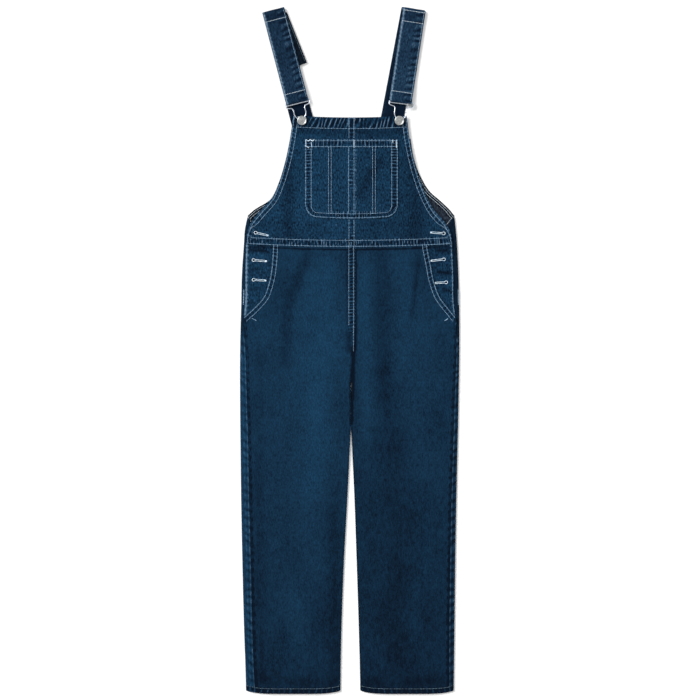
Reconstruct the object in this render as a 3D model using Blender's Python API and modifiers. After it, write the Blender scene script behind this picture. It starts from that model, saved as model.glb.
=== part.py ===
"""Denim bib-and-brace dungarees, laid flat and face up.

x runs across (the wearer's left is +x), y from the hems up to the shoulder straps, z up.
The shapes are worked out in millimetres from the centre-front seam (x = 0) and the hem line
(y = 0). The empty "garment" then moves them, so that the origin lies on the surface below the
middle of the whole.
"""

import math
from collections import namedtuple

import bmesh
import bpy
import numpy as np
from mathutils import Vector

MM = 0.001
MIDDLE = (-2.8, 754.9)  # middle of the garment, from the centre-front seam and the hem line

# Cloth
CLOTH = 1.5  # one layer of denim with its nap
GAP = 0.3  # clearance at every seam and between layers
INNER_GAP = 0.4  # clearance between a front leg and the back's fold at the inner edge
FACING_GAP = 0.5  # clearance between a curved pocket mouth and the facing below it
ON_PANEL = 0.45  # clearance between the bib and the pocket on it
THICKEST = 5.0  # thickness of the wall where its vertex weight is 1
SIDE_GAP = 1.6  # hollow between front and back where the cloth folds round a side
FOLD = CLOTH + SIDE_GAP / 2  # outer radius of a side fold
FRONT_LOW = CLOTH + SIDE_GAP  # underside of the front panels at the side folds
TOP_OF_FOLD = 2 * FOLD
STEP = 2.0  # length of the slope at the edge of a turned hem

CROWN = 0.9  # how much further the front stands off the back inside its edges
UNDER_FACING = 15.0  # how far the hip facing runs in under the front leg
UNDER_PLACKET = 7.0  # how far the back's side strip runs in under the side opening's edge
LEAST_STRIP = 3.0

# Turned hems and felled seams: width of the raised band, and how far it stands up
HEM, HEM_RAISE, BACK_HEM_RAISE = 12.5, 0.9, 0.2
OUTSEAM, OUTSEAM_RAISE = 7.0, 0.6
POCKET_MOUTH, MOUTH_RAISE = 12.0, 0.8
ARMHOLE_HEM, ARMHOLE_RAISE = 11.0, 0.8
WAIST_FELL, WAIST_RAISE = 16.5, 0.9
BIB_HEM, BIB_HEM_RAISE = 26.0, 1.1
FELL_RAISE = 0.7
FELL = (-5.5, 8.6)  # the felled centre-front seam, from edge to edge

# Heights above the hem line
HEM_RISE = 7.0  # how much higher the hem is at a leg's sides than at its middle
FOLD_TOP = 632.0  # the fold at the inseam is whole up to here, and flat at the crotch
FRONT_CROTCH = 688.0
CROTCH = 700.0
POCKET_FOOT = 829.0  # lower end of the curved hip-pocket mouth
WAIST, WAIST_BOW = 983.0, 6.0  # front waist seam at the centre, and its rise at the sides
BACK_WAIST, BACK_WAIST_BOW = 1004.0, 48.0  # the same for the back
BACK_CORNER = BACK_WAIST + BACK_WAIST_BOW
BACK_TOP = 1222.0
BIB_TOP = 1267.0

# Half outlines of the two legs and hips. Right is negative, left is positive.
Side = namedtuple("Side", "height right_side right_seam right_inseam left_inseam left_seam left_side")
SIDES = [
    Side(0, -231.0, -210.5, -24.5, 21.5, 216.5, 226.0),
    Side(60, -232.5, -214.0, -24.0, 20.5, 216.0, 226.8),
    Side(130, -235.0, -216.5, -22.5, 18.5, 216.0, 227.7),
    Side(285, -239.0, -220.0, -16.5, 13.2, 218.0, 229.5),
    Side(440, -242.0, -224.0, -7.7, 7.3, 221.0, 232.2),
    Side(575, -243.5, -226.5, -1.4, 1.4, 225.5, 235.4),
    Side(655, -244.2, -229.0, -0.6, 0.6, 228.0, 237.0),
    Side(745, -244.2, -231.5, -0.6, 0.6, 231.5, 238.4),
    Side(815, -242.8, -235.5, -0.6, 0.6, 232.0, 238.6),
    Side(850, -241.8, -235.5, -0.6, 0.6, 232.0, 238.2),
    Side(930, -239.8, -235.5, -0.6, 0.6, 232.0, 236.2),
    Side(993, -235.6, -235.5, -0.6, 0.6, 232.0, 233.3),
    Side(1024, -232.6, -235.5, -0.6, 0.6, 232.0, 230.0),
    Side(1052, -226.0, -235.5, -0.6, 0.6, 232.0, 226.0),
]
# Finished edge of the side opening, which lies over the back
Placket = namedtuple("Placket", "height right left")
PLACKET = [
    Placket(826, -236.5, 230.5),
    Placket(862, -233.0, 226.5),
    Placket(921, -232.5, 225.5),
    Placket(990, -231.0, 222.5),
]
# Edge of the front leg along the curved pocket mouth
Mouth = namedtuple("Mouth", "height right left")
MOUTH = [
    Mouth(829, -236.0, 230.0),
    Mouth(849, -214.0, 214.0),
    Mouth(869, -195.5, 198.5),
    Mouth(906, -181.0, 183.5),
    Mouth(945, -174.5, 175.5),
    Mouth(983, -172.0, 168.0),
]
# Side and armhole edge of the bib
Armhole = namedtuple("Armhole", "height right left")
ARMHOLE = [
    Armhole(983, -231.0, 222.5),
    Armhole(1010, -227.5, 218.5),
    Armhole(1032, -219.5, 206.5),
    Armhole(1058, -199.5, 184.0),
    Armhole(1088, -173.5, 167.0),
    Armhole(1120, -159.0, 154.0),
    Armhole(1160, -146.5, 141.5),
    Armhole(1210, -135.5, 130.5),
    Armhole(1267, -127.0, 122.5),
]
# Armhole edge of the back
BackArmhole = namedtuple("BackArmhole", "height right left")
BACK_ARMHOLE = [
    BackArmhole(1052, -226.0, 226.0),
    BackArmhole(1066, -209.0, 214.5),
    BackArmhole(1084, -180.0, 196.0),
    BackArmhole(1104, -160.0, 175.0),
    BackArmhole(1135, -147.0, 155.0),
    BackArmhole(1175, -136.5, 139.5),
    BackArmhole(1222, -130.0, 131.0),
]
# Columns of the back between its armhole hems, as shares of the way from the centre to a hem
BACK_COLUMNS = (0.86, 0.7, 0.45, 0.19)
# Soft ridges (+) and troughs (-) of the front, from one point to another
Crease = namedtuple("Crease", "x0 y0 x1 y1 width depth")
CREASES = [
    Crease(-92, 960, -88, 250, 46, 1.3),
    Crease(-147, 985, -160, 640, 24, -1.0),
    Crease(-190, 700, -175, 120, 34, 0.7),
    Crease(66, 985, 74, 640, 20, -1.1),
    Crease(74, 660, 98, 150, 26, -0.9),
    Crease(32, 950, 40, 480, 24, 0.9),
    Crease(150, 900, 156, 200, 44, 1.1),
    Crease(-141, 1175, -145, 1010, 18, -0.7),
    Crease(136, 1195, 140, 1010, 18, -0.7),
]


def smooth(t):
    """0 below 0, 1 above 1, and an S-curve between them."""
    t = np.clip(t, 0.0, 1.0)
    return t * t * (3 - 2 * t)


def along(rows, column, height):
    """A column of a table at any height: a cubic curve through its rows."""
    h = np.array([row.height for row in rows], float)
    value = np.array([getattr(row, column) for row in rows], float)
    slope = np.gradient(value, h)
    height = np.clip(height, h[0], h[-1])
    k = np.clip(np.searchsorted(h, height, side="right") - 1, 0, len(h) - 2)
    span = h[k + 1] - h[k]
    t = (height - h[k]) / span
    return (
        value[k] * (1 + 2 * t) * (1 - t) ** 2
        + value[k + 1] * t * t * (3 - 2 * t)
        + span * slope[k] * t * (1 - t) ** 2
        - span * slope[k + 1] * t * t * (1 - t)
    )


def inset(rows, column, height, distance):
    """How far in x an edge moves when it moves inwards by a distance square to itself."""
    slope = (along(rows, column, height + 1) - along(rows, column, height - 1)) / 2
    return distance * np.sqrt(1 + slope**2)


def creases(x, y):
    """Sum of the ridges and troughs: each is a bell across its line, and fades past its ends."""
    total = np.zeros(np.broadcast(x, y).shape)
    for c in CREASES:
        length = math.hypot(c.x1 - c.x0, c.y1 - c.y0)
        ux, uy = (c.x1 - c.x0) / length, (c.y1 - c.y0) / length
        run = (x - c.x0) * ux + (y - c.y0) * uy
        off = (x - c.x0) * uy - (y - c.y0) * ux
        ends = smooth((run + c.width) / (2 * c.width)) * smooth((length - run + c.width) / (2 * c.width))
        total = total + c.depth * np.exp(-((off / c.width) ** 2)) * ends
    return total


def waist_bow(x):
    return WAIST_BOW * (x / 220) ** 2


# The front's underside ------------------------------------------------------------------------


def side_lift(from_edge, y):
    """Lift of the front where it lies over the back's turned-in side strip, by the distance in."""
    return (CLOTH + GAP) * smooth((y - 788) / 28) * (1 - smooth((from_edge - 10) / 60))


def leg_low(x, y, from_edge, across):
    """Underside of a front leg. across is 0 at its outer edge and 1 at its inner edge."""
    hip = smooth((y - 760) / 60)  # 0 on the leg, 1 beside the pocket mouth
    inner_fold = 1 - smooth((y - 640) / 80)  # 1 where the back folds up round the inner edge
    over_facing = (CLOTH + FACING_GAP) * smooth((y - 800) / 26) * (1 - smooth((from_edge - 26) / 40))
    placket = np.where(x < 0, along(PLACKET, "right", y), along(PLACKET, "left", y))
    from_side = np.where(y > POCKET_FOOT, np.abs(placket) - np.abs(x), from_edge)
    crown = CROWN * smooth(across / 0.25) * (1 - inner_fold * smooth((across - 0.75) / 0.25))
    fade = smooth(across / 0.12) * (1 - hip) + smooth((from_edge - 15) / 30) * hip
    fade = fade * (1 - inner_fold * smooth((across - 0.88) / 0.12))
    return FRONT_LOW + side_lift(from_side, y) + over_facing + crown + creases(x, y) * fade


def bib_low(x, y):
    """Underside of the bib: over the back's side strips below, over the strap ends above."""
    edge = np.where(x < 0, -along(ARMHOLE, "right", y), along(ARMHOLE, "left", y))
    from_edge = edge - np.abs(x)
    over_strip = side_lift(from_edge, y) * (1 - smooth((y - 1030) / 40))
    over_facing = CROWN * (1 - smooth((from_edge - 60) / 20)) * (1 - smooth((y - 985) / 50))
    over_straps = 1.6 * smooth((y - 1050) / 110)
    crown = CROWN * smooth(from_edge / 50) * (1 - smooth((y - 1060) / 100))
    fade = smooth(from_edge / 15) * (1 - smooth((y - 1150) / 60))
    return FRONT_LOW + over_strip + over_facing + over_straps + crown + creases(x, y) * fade


# Walls ------------------------------------------------------------------------------------------


def cloth(name, points, thickness, mirrored=False, material="denim"):
    """A wall of cloth. points (rows, columns, 3) is its lower or outer face in millimetres, and
    the wall grows from there along the face's normal by the thickness at each point."""
    if mirrored:
        points, thickness = points[:, ::-1], thickness[:, ::-1]
    rows, columns = thickness.shape
    mesh = bpy.data.meshes.new(name)
    grid = bmesh.new()
    bmesh.ops.create_grid(grid, x_segments=columns - 1, y_segments=rows - 1, size=0.5)
    weights = []
    for vert in grid.verts:
        column = round((vert.co.x + 0.5) * (columns - 1))
        row = round((vert.co.y + 0.5) * (rows - 1))
        vert.co = Vector(points[row, column]) * MM
        weights.append(thickness[row, column] / THICKEST)
    grid.to_mesh(mesh)
    grid.free()
    obj = place(bpy.data.objects.new(name, mesh), material)
    group = obj.vertex_groups.new(name="thickness")
    for index, weight in enumerate(weights):
        group.add([index], weight, "REPLACE")
    wall = obj.modifiers.new("wall", "SOLIDIFY")
    wall.thickness = THICKEST * MM
    wall.offset = 1.0
    wall.vertex_group = group.name
    return obj


def place(obj, material):
    """Puts an object in the garment's collection, under its empty, with its material."""
    collection.objects.link(obj)
    obj.parent = garment
    obj.data.materials.append(materials[material])
    return obj


def stacked(x, y, z):
    return np.stack(np.broadcast_arrays(x, y, z), axis=-1)


# Legs -------------------------------------------------------------------------------------------

LEG_ROWS = np.array(
    [0, HEM, HEM + STEP, 45, 90, 150, 215, 285, 360, 440, 510, 575, FOLD_TOP, 648, 664, 676, FRONT_CROTCH, CROTCH]
    + [726, 760, 788, 803, 816, POCKET_FOOT, 838, 849, 862, 880, 906, 930, 957, WAIST]
)


def hem_rise(row, x, side):
    """The hem curves up towards the leg's two sides."""
    inner, outer = along(SIDES, side + "_inseam", row), along(SIDES, side + "_side", row)
    across = np.clip((x - inner) / (outer - inner), 0, 1)
    return HEM_RISE * np.abs(2 * across - 1) ** 5 * (1 - smooth(row / 120))


def front_inner_edge(y, sign):
    """Inner edge of a front leg: at the inseam fold, and above the crotch at the felled seam."""
    side = "left" if sign > 0 else "right"
    fold = sign * (np.abs(along(SIDES, side + "_inseam", y)) + FOLD + INNER_GAP)
    lap = -GAP / 2 + (FELL[1] + GAP / 2) * smooth((y - CROTCH) / 60)  # from the middle to the fell
    if sign > 0:
        lap = lap + GAP
    return np.where(y <= FRONT_CROTCH, fold, lap)


def front_outer_edge(y, side):
    """Outer edge of a front leg: the outseam, and above it the curved pocket mouth."""
    sign = 1 if side == "left" else -1
    outseam = along(SIDES, side + "_seam", y) - sign * GAP / 2
    return np.where(y < POCKET_FOOT, outseam, along(MOUTH, side, y))


def front_leg(side):
    sign = 1 if side == "left" else -1
    y = LEG_ROWS[:, None]
    outer, inner = front_outer_edge(y, side), front_inner_edge(y, sign)
    above = y >= POCKET_FOOT
    band = np.where(above, inset(MOUTH, side, y, POCKET_MOUTH), OUTSEAM)
    slope_end = band + np.where(above, inset(MOUTH, side, y, STEP), STEP)
    if side == "right":
        lap_start = np.where(y > CROTCH, FELL[0], inner - 14)
        tail = [lap_start - STEP, lap_start, inner]
    else:
        tail = [inner + 8, inner]
    start, end = outer - sign * slope_end, tail[0]
    spread = [start + (end - start) * share for share in (0.0, 0.14, 0.3, 0.47, 0.64, 0.82)]
    columns = [outer, outer - sign * band] + spread + tail
    x = np.concatenate([np.broadcast_to(c, y.shape) for c in columns], axis=1)
    across = np.abs(x - outer) / np.abs(inner - outer)
    height = y + hem_rise(y, x, side) + (waist_bow(x) - GAP) * smooth((y - 900) / 83)
    low = leg_low(x, y, np.abs(x - outer), across)
    raise_by = np.zeros_like(x)
    raise_by[:, :2] = np.where(above, MOUTH_RAISE, OUTSEAM_RAISE)
    if side == "right":
        raise_by[:, -2:] = FELL_RAISE * smooth((y - CROTCH) / 28)
    raise_by[:2] = HEM_RAISE
    return cloth(f"front_leg_{side}", stacked(x, height, low), CLOTH + raise_by, side == "left")


INNER_FOLD = np.array([0, 30, 60, 90, 120, 150, 168, 180]) / 180  # shares of the fold's turn


def back_seam(side):
    """Half the back's width at its waist corner, and the distances from the centre of the
    columns in which it meets a leg."""
    edge = np.abs(along(BACK_ARMHOLE, side, BACK_CORNER))
    hem = edge - inset(BACK_ARMHOLE, side, BACK_CORNER, ARMHOLE_HEM)
    return edge, [hem, hem - STEP] + [(hem - STEP) * share for share in BACK_COLUMNS]


def back_bow(x, edge):
    """The back's waist seam climbs steeply towards its corners."""
    return (np.abs(x) / edge) ** 6


def back_leg(side):
    """A back leg folds round both sides of its leg. Its outer strip lies on the front side, up
    to the outseam, and above the pocket foot it runs in under the edge of the side opening."""
    sign = 1 if side == "left" else -1
    row = np.append(LEG_ROWS, BACK_WAIST)[:, None]
    climb = BACK_WAIST_BOW * smooth((row - 860) / (BACK_WAIST - 860))
    edge_y = row + climb
    side_x = np.abs(along(SIDES, side + "_side", edge_y))
    under = np.abs(along(PLACKET, side, edge_y)) - UNDER_PLACKET
    seam = np.abs(along(SIDES, side + "_seam", edge_y)) + GAP / 2
    strip = np.where(row < POCKET_FOOT, seam, under)
    strip = np.minimum(strip, side_x - FOLD - LEAST_STRIP)
    columns = [(strip, TOP_OF_FOLD), ((strip + side_x - FOLD) / 2, TOP_OF_FOLD)]
    for turn in np.linspace(0, math.pi, 7):
        columns.append((side_x - FOLD + FOLD * np.sin(turn), FOLD + FOLD * np.cos(turn)))
    whole = 1 - smooth((row - FOLD_TOP) / (CROTCH - FOLD_TOP))
    inner = np.abs(along(SIDES, side + "_inseam", row))
    edge, seam_columns = back_seam(side)
    flat_edge, last = side_x - FOLD, seam_columns[-1]
    turned = math.pi * whole
    fold_x = whole * inner + (1 - whole) * GAP / 2 + FOLD * np.sin(np.minimum(turned, math.pi / 2))
    tangent = whole * (inner + FOLD) + (1 - whole) * last
    for distance in seam_columns[:-1]:
        share = (edge - FOLD - distance) / (edge - FOLD - last)
        columns.append((flat_edge + (tangent - flat_edge) * share, 0.0))
    for share in INNER_FOLD:
        # distance from the panel's edge, back round the fold and on over the flat
        back = (1 - share) * (whole * FOLD * turned + (1 - whole) * (last - GAP / 2))
        turn = np.maximum(turned - back / FOLD, 0)
        beyond = np.maximum(back - FOLD * turned, 0)
        columns.append((fold_x - FOLD * np.sin(turn) + beyond, FOLD - FOLD * np.cos(turn)))
    x = sign * np.concatenate([np.broadcast_to(c[0], row.shape) for c in columns], axis=1)
    z = np.concatenate([np.broadcast_to(c[1], row.shape) for c in columns], axis=1)
    height = row + hem_rise(row, x, side) + climb * back_bow(np.minimum(np.abs(x), flat_edge), side_x)
    height = height - GAP * (row >= BACK_WAIST)
    thickness = np.full_like(x, CLOTH)
    thickness[:2] = CLOTH + BACK_HEM_RAISE
    return cloth(f"back_leg_{side}", stacked(x, height, z), thickness, side == "left", "denim_back")


def hip_facing(side):
    """The panel that shows inside the curved pocket mouth, with the side opening's edge."""
    sign = 1 if side == "left" else -1
    y = np.array([POCKET_FOOT + 4, 842, 856, 874, 900, 930, 957, WAIST])[:, None]
    outer = along(PLACKET, side, y)
    mouth = along(MOUTH, side, y) - sign * inset(MOUTH, side, y, UNDER_FACING)
    x = np.concatenate([outer + (mouth - outer) * share for share in (0, 0.25, 0.5, 0.75, 1)], axis=1)
    height = y + (waist_bow(x) - GAP) * smooth((y - 900) / 83)
    low = FRONT_LOW + side_lift(np.abs(x - outer), y)
    return cloth(f"hip_facing_{side}", stacked(x, height, low), np.full_like(x, CLOTH), side == "left")


# Bib, back and pocket ---------------------------------------------------------------------------

BIB_ROWS = WAIST + np.array(
    [0, WAIST_FELL, WAIST_FELL + STEP, 32, 45, 57, 61, 75, 95, 125, 155, 185, 215, 236, 240]
    + [284 - BIB_HEM - STEP, 284 - BIB_HEM, 284]
)
POCKET_LEFT, POCKET_RIGHT = 103.5, -101.5
POCKET_TOP, POCKET_BOTTOM = 1220.5, 1050.5
POCKET_CORNER, POCKET_BOW = 26.0, 5.0
POCKET_CLOTH = 1.2
POCKET_HEM, POCKET_HEM_RAISE = 17.5, 1.0
POCKET_SLACK = 0.7  # how far it stands off the bib inside its edges
POCKET_FELL = (-6.5, 11.5)  # the pocket's own centre seam
TUCK = {"right": -46.5, "left": 50.5}  # the raised line down each half
TUCK_HALF, TUCK_RAISE = 4.5, 0.6


def top_bow(x):
    """The bib's top edge rises a little towards its corners."""
    return 3.5 * (x / 120) ** 2


def bib(side):
    sign = 1 if side == "left" else -1
    y = BIB_ROWS[:, None]
    edge = along(ARMHOLE, side, y)
    hem = inset(ARMHOLE, side, y, ARMHOLE_HEM)
    slope_end = hem + inset(ARMHOLE, side, y, STEP)
    start = edge - sign * slope_end
    if side == "right":
        inner, end = FELL[1], FELL[0] - STEP
        tail = [end, FELL[0], inner]
    else:
        inner = end = FELL[1] + GAP
        tail = [inner]
    spread = [start + (end - start) * share for share in (0.0, 0.2, 0.4, 0.6, 0.8)]
    columns = [edge, edge - sign * hem] + spread + tail
    x = np.concatenate([np.broadcast_to(c, y.shape) for c in columns], axis=1)
    up = (y - WAIST) / (BIB_TOP - WAIST)
    height = y + waist_bow(x) * (1 - up) + top_bow(x) * up
    raise_by = np.zeros_like(x)
    raise_by[:, :2] = ARMHOLE_RAISE
    if side == "right":
        beside_pocket = (y > POCKET_BOTTOM - 8) & (y < POCKET_TOP)
        raise_by[:, -2:] = np.where(beside_pocket, 0, FELL_RAISE)
    raise_by[:2] = WAIST_RAISE
    raise_by[-2:] = BIB_HEM_RAISE
    return cloth(f"bib_{side}", stacked(x, height, bib_low(x, height)), CLOTH + raise_by, side == "left")


def pocket(side):
    """Half of the bib pocket. It lies on the bib round its edge, and a little above it inside."""
    sign = 1 if side == "left" else -1
    edge = POCKET_LEFT if side == "left" else POCKET_RIGHT
    turns = np.radians([0, 18, 36, 54, 72, 90])
    corner = POCKET_CORNER * (1 - np.cos(turns))
    tall = POCKET_TOP - POCKET_BOTTOM
    rise = [*corner, 48, 74, 100, 126, tall - POCKET_HEM - STEP, tall - POCKET_HEM, tall]
    rise = np.array(rise)[:, None]
    corner_in = POCKET_CORNER - np.sqrt(POCKET_CORNER**2 - np.clip(POCKET_CORNER - rise, 0, None) ** 2)
    outer = edge - sign * corner_in
    tuck = TUCK[side]
    fixed = [tuck + sign * (TUCK_HALF + STEP), tuck + sign * TUCK_HALF]
    fixed += [tuck - sign * TUCK_HALF, tuck - sign * (TUCK_HALF + STEP)]
    if side == "right":
        fixed += [(fixed[-1] + POCKET_FELL[0]) / 2, POCKET_FELL[0] - STEP, POCKET_FELL[0], POCKET_FELL[1]]
    else:
        fixed += [(fixed[-1] + POCKET_FELL[1]) / 2, POCKET_FELL[1] + GAP]
    columns = [outer, (outer + fixed[0]) / 2] + fixed
    x = np.concatenate([np.broadcast_to(c, rise.shape) for c in columns], axis=1)
    bow = -POCKET_BOW * (1 - (x / POCKET_LEFT) ** 2) * (1 - smooth(rise / 70))
    y = POCKET_BOTTOM + rise + bow
    from_side = np.minimum(np.abs(x - outer), 15) / 15
    slack = POCKET_SLACK * smooth(from_side) * smooth(rise / 20)
    low = bib_low(x, y) + CLOTH + ON_PANEL + slack
    raise_by = np.zeros_like(x)
    raise_by[:, 3:5] = TUCK_RAISE
    if side == "right":
        raise_by[:, -2:] = FELL_RAISE
    raise_by[-2:] = POCKET_HEM_RAISE
    return cloth(f"bib_pocket_{side}", stacked(x, y, low), POCKET_CLOTH + raise_by, side == "left")


def back_bib():
    """The back above the waist lies flat on the surface, with its armhole hems turned inside."""
    up = np.array([0, 0.04, 0.09, 0.16, 0.25, 0.36, 0.5, 0.66, 0.83, 1.0])[:, None]
    edge_y = BACK_CORNER + up * (BACK_TOP - BACK_CORNER)
    halves = []
    for side, sign in (("right", -1), ("left", 1)):
        edge = np.abs(along(BACK_ARMHOLE, side, edge_y))
        hem = edge - inset(BACK_ARMHOLE, side, edge_y, ARMHOLE_HEM)
        columns = [edge, hem, hem - STEP] + [(hem - STEP) * share for share in BACK_COLUMNS]
        halves.append([sign * column for column in columns])
    x = np.concatenate(halves[0] + [0 * up] + halves[1][::-1], axis=1)
    bottom = BACK_WAIST + BACK_WAIST_BOW * back_bow(x[:1], np.where(x[:1] < 0, -x[0, 0], x[0, -1]))
    y = bottom + up * (BACK_TOP - bottom)
    thickness = np.full_like(x, CLOTH)
    hem_raise = ARMHOLE_RAISE * (1 - smooth((y - 1150) / 30))  # flat where the straps are sewn on
    for column in (0, 1, -2, -1):
        thickness[:, column] += hem_raise[:, column]
    return cloth("back_bib", stacked(x, y, 0 * x), thickness, False, "denim_back")


# Straps -----------------------------------------------------------------------------------------

STRAP, STRAP_CLOTH = 50.0, 2.2  # width, and thickness of the doubled cloth
WIRE = 1.2  # radius of the buckle's wire
BAR_Z = 6.5  # height of the buckle's bar
TURN = WIRE + GAP  # inner radius of the strap round the bar
STRAP_HEM, STRAP_HEM_RAISE = 20.0, 0.7  # the piece sewn down at the top fold
STRAP_LOOP = 26.0  # length turned in round the buckle's bar
TAIL_GAP = 0.4

# Middle of the buckle's bar, of the top fold and of the sewn end, and the room inside the fold
Strap = namedtuple("Strap", "side bar top back_end spread")
STRAPS = [
    Strap("right", (-116.2, 1299.1), (-170.3, 1503.0), (-83.0, 1172.0), 3.0),
    Strap("left", (111.1, 1299.1), (138.2, 1505.0), (73.0, 1172.0), 1.6),
]
BUTTON_DROP = 39.0  # from the buckle's bar to the button
TAIL_START, TAIL_END = (-164.5, 1491.0), (-120.1, 1380.0)  # middle of the right strap's spare end


def heading(start, end):
    """(length, unit vector, the unit vector to its right) from one point to another."""
    dx, dy = end[0] - start[0], end[1] - start[1]
    length = math.hypot(dx, dy)
    return length, np.array([dx, dy]) / length, np.array([dy, -dx]) / length


def strap(spec):
    """One strap: sewn end on the back, up to the top fold, down the front and round the bar."""
    front, up, right = heading(spec.bar, spec.top)
    _, back_up, back_right = heading(spec.back_end, spec.top)
    bar = np.array(spec.bar)
    low = STRAP_CLOTH + spec.spread  # underside of the front run
    # Inner face, from the end that is turned in behind the bar: middle of the strap, height, the
    # direction to its right, and how much the outer face is raised
    path = []
    for run in (STRAP_LOOP, STRAP_LOOP / 2):
        path.append((bar + up * run, BAR_Z - TURN, right, 0.0))
    for turn in np.linspace(0, math.pi, 9):
        path.append((bar - up * TURN * math.sin(turn), BAR_Z - TURN * math.cos(turn), right, 0.0))
    for run, share in ((13, 0.2), (STRAP_LOOP, 0.45), (42, 0.85), (58, 1)):
        path.append((bar + up * run, (BAR_Z + TURN) * (1 - share) + low * share, right, 0.0))
    for run in (0.45 * front, 0.7 * front, front - STRAP_HEM - STEP):
        path.append((bar + up * run, low, right, 0.0))
    path.append((bar + up * (front - STRAP_HEM), low, right, STRAP_HEM_RAISE))
    radius = spec.spread / 2
    fold = bar + up * (front - radius - STRAP_CLOTH)
    for turn in np.linspace(0, math.pi, 9):
        mix = turn / math.pi
        over = fold + (up * (1 - mix) + back_up * mix) * radius * math.sin(turn)
        across = right * (1 - mix) + back_right * mix
        path.append((over, low - radius + radius * math.cos(turn), across, STRAP_HEM_RAISE * (1 - mix)))
    back, down, _ = heading(fold, spec.back_end)
    climb = CLOTH + GAP  # on to the inside of the back
    levels = [(STRAP_HEM, 0), (0.35 * back, 0), (0.6 * back, 0), (back - 78, 0)]
    levels += [(back - 68, 0.3), (back - 60, 0.8), (back - 54, 1), (back - 25, 1), (back, 1)]
    for run, share in levels:
        path.append((fold + down * run, STRAP_CLOTH + climb * share, back_right, 0.0))
    points = [
        [[*(middle + across * STRAP * k), z] for k in (-0.5, 0.0, 0.5)]
        for middle, z, across, _ in path
    ]
    thickness = [[STRAP_CLOTH + raised] * 3 for _, _, _, raised in path]
    return cloth(f"strap_{spec.side}", np.array(points), np.array(thickness))


def strap_tail():
    """The right strap's spare end, turned down between its front and back runs."""
    _, _, right = heading(TAIL_START, TAIL_END)
    start, end = np.array(TAIL_START), np.array(TAIL_END)
    points = []
    for share in (0, 0.33, 0.67, 1):
        middle = start + (end - start) * share
        points.append([[*(middle + right * STRAP * k), STRAP_CLOTH + TAIL_GAP] for k in (-0.5, 0.0, 0.5)])
    thickness = np.full((4, 3), STRAP_CLOTH)
    return cloth("strap_tail_right", np.array(points)[::-1], thickness, True)


# Buckles and buttons ----------------------------------------------------------------------------

# Half of the wire buckle, from the end of its bar down to the hook round the button's post:
# distances to the side of the strap's line, and down from the bar
Bend = namedtuple("Bend", "aside down")
BUCKLE = [
    Bend(25.2, 0.0),
    Bend(26.6, 1.6),
    Bend(26.8, 5.0),
    Bend(25.2, 7.6),
    Bend(21.0, 8.8),
    Bend(15.4, 10.0),
    Bend(13.0, 13.2),
    Bend(12.6, 18.5),
    Bend(12.8, 24.5),
    Bend(10.6, 30.0),
    Bend(7.0, 34.0),
]
HOOK_Z = 1.9  # height of the hook's wire over the bib, from cloth to wire centre
CAP_LOW = 3.5  # underside of the button's cap over the bib
BUTTON_R, POST_R = 10.5, 4.0
HOOK_R = POST_R + GAP + WIRE


def button_place(spec):
    _, up, _ = heading(spec.bar, spec.top)
    return np.array(spec.bar) - up * BUTTON_DROP


def on_bib(point):
    """Height of the hem at the top of the bib."""
    return float(bib_low(np.array(point[0]), np.array(point[1]))) + CLOTH + BIB_HEM_RAISE


def buckle(spec):
    """A loop of wire: its bar lies in the strap's end, and its hook bears on the post."""
    _, up, right = heading(spec.bar, spec.top)
    hook = on_bib(button_place(spec)) + HOOK_Z
    turns = np.radians([0, 30, 60])
    arc = [(HOOK_R * math.cos(a), BUTTON_DROP + HOOK_R * math.sin(a)) for a in turns]
    half = [(bend.aside, bend.down) for bend in BUCKLE] + arc
    loop = half + [(0.0, BUTTON_DROP + HOOK_R)] + [(-aside, run) for aside, run in reversed(half)]
    curve = bpy.data.curves.new(f"buckle_{spec.side}", "CURVE")
    curve.dimensions = "3D"
    curve.bevel_depth = WIRE * MM
    curve.bevel_resolution = 2
    spline = curve.splines.new("POLY")
    spline.points.add(len(loop) - 1)
    spline.use_cyclic_u = True
    for point, (aside, run) in zip(spline.points, loop):
        x, y = np.array(spec.bar) + right * aside - up * run
        z = BAR_Z + (hook - BAR_Z) * smooth(run / 24)
        point.co = (x * MM, y * MM, z * MM, 1)
    return place(bpy.data.objects.new(curve.name, curve), "metal")


def button(spec):
    """A turned cap with a rolled rim, on a post that stands on the bib."""
    rim = CAP_LOW + 1.0
    profile = [(0.0, 5.9), (4.5, 5.8), (7.6, 5.5), (8.6, 5.9), (9.8, 5.7), (BUTTON_R, rim)]
    profile += [(9.8, CAP_LOW + 0.1), (8.6, CAP_LOW), (POST_R, CAP_LOW), (POST_R, GAP), (0.0, GAP)]
    mesh = bpy.data.meshes.new(f"button_{spec.side}")
    edges = [(k, k + 1) for k in range(len(profile) - 1)]
    mesh.from_pydata([(r * MM, 0, z * MM) for r, z in profile], edges, [])
    obj = place(bpy.data.objects.new(mesh.name, mesh), "metal")
    x, y = button_place(spec)
    obj.location = (x * MM, y * MM, on_bib((x, y)) * MM)
    turn = obj.modifiers.new("turn", "SCREW")
    turn.steps = turn.render_steps = 20
    turn.use_merge_vertices = True
    turn.merge_threshold = 0.0001
    return obj


# Scene ------------------------------------------------------------------------------------------


def finish(name, colour, roughness, metallic=0.0):
    material = bpy.data.materials.new(name)
    material.use_nodes = True
    shader = material.node_tree.nodes["Principled BSDF"]
    shader.inputs["Base Color"].default_value = (*colour, 1)
    shader.inputs["Roughness"].default_value = roughness
    shader.inputs["Metallic"].default_value = metallic
    material.diffuse_color = (*colour, 1)
    return material


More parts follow.
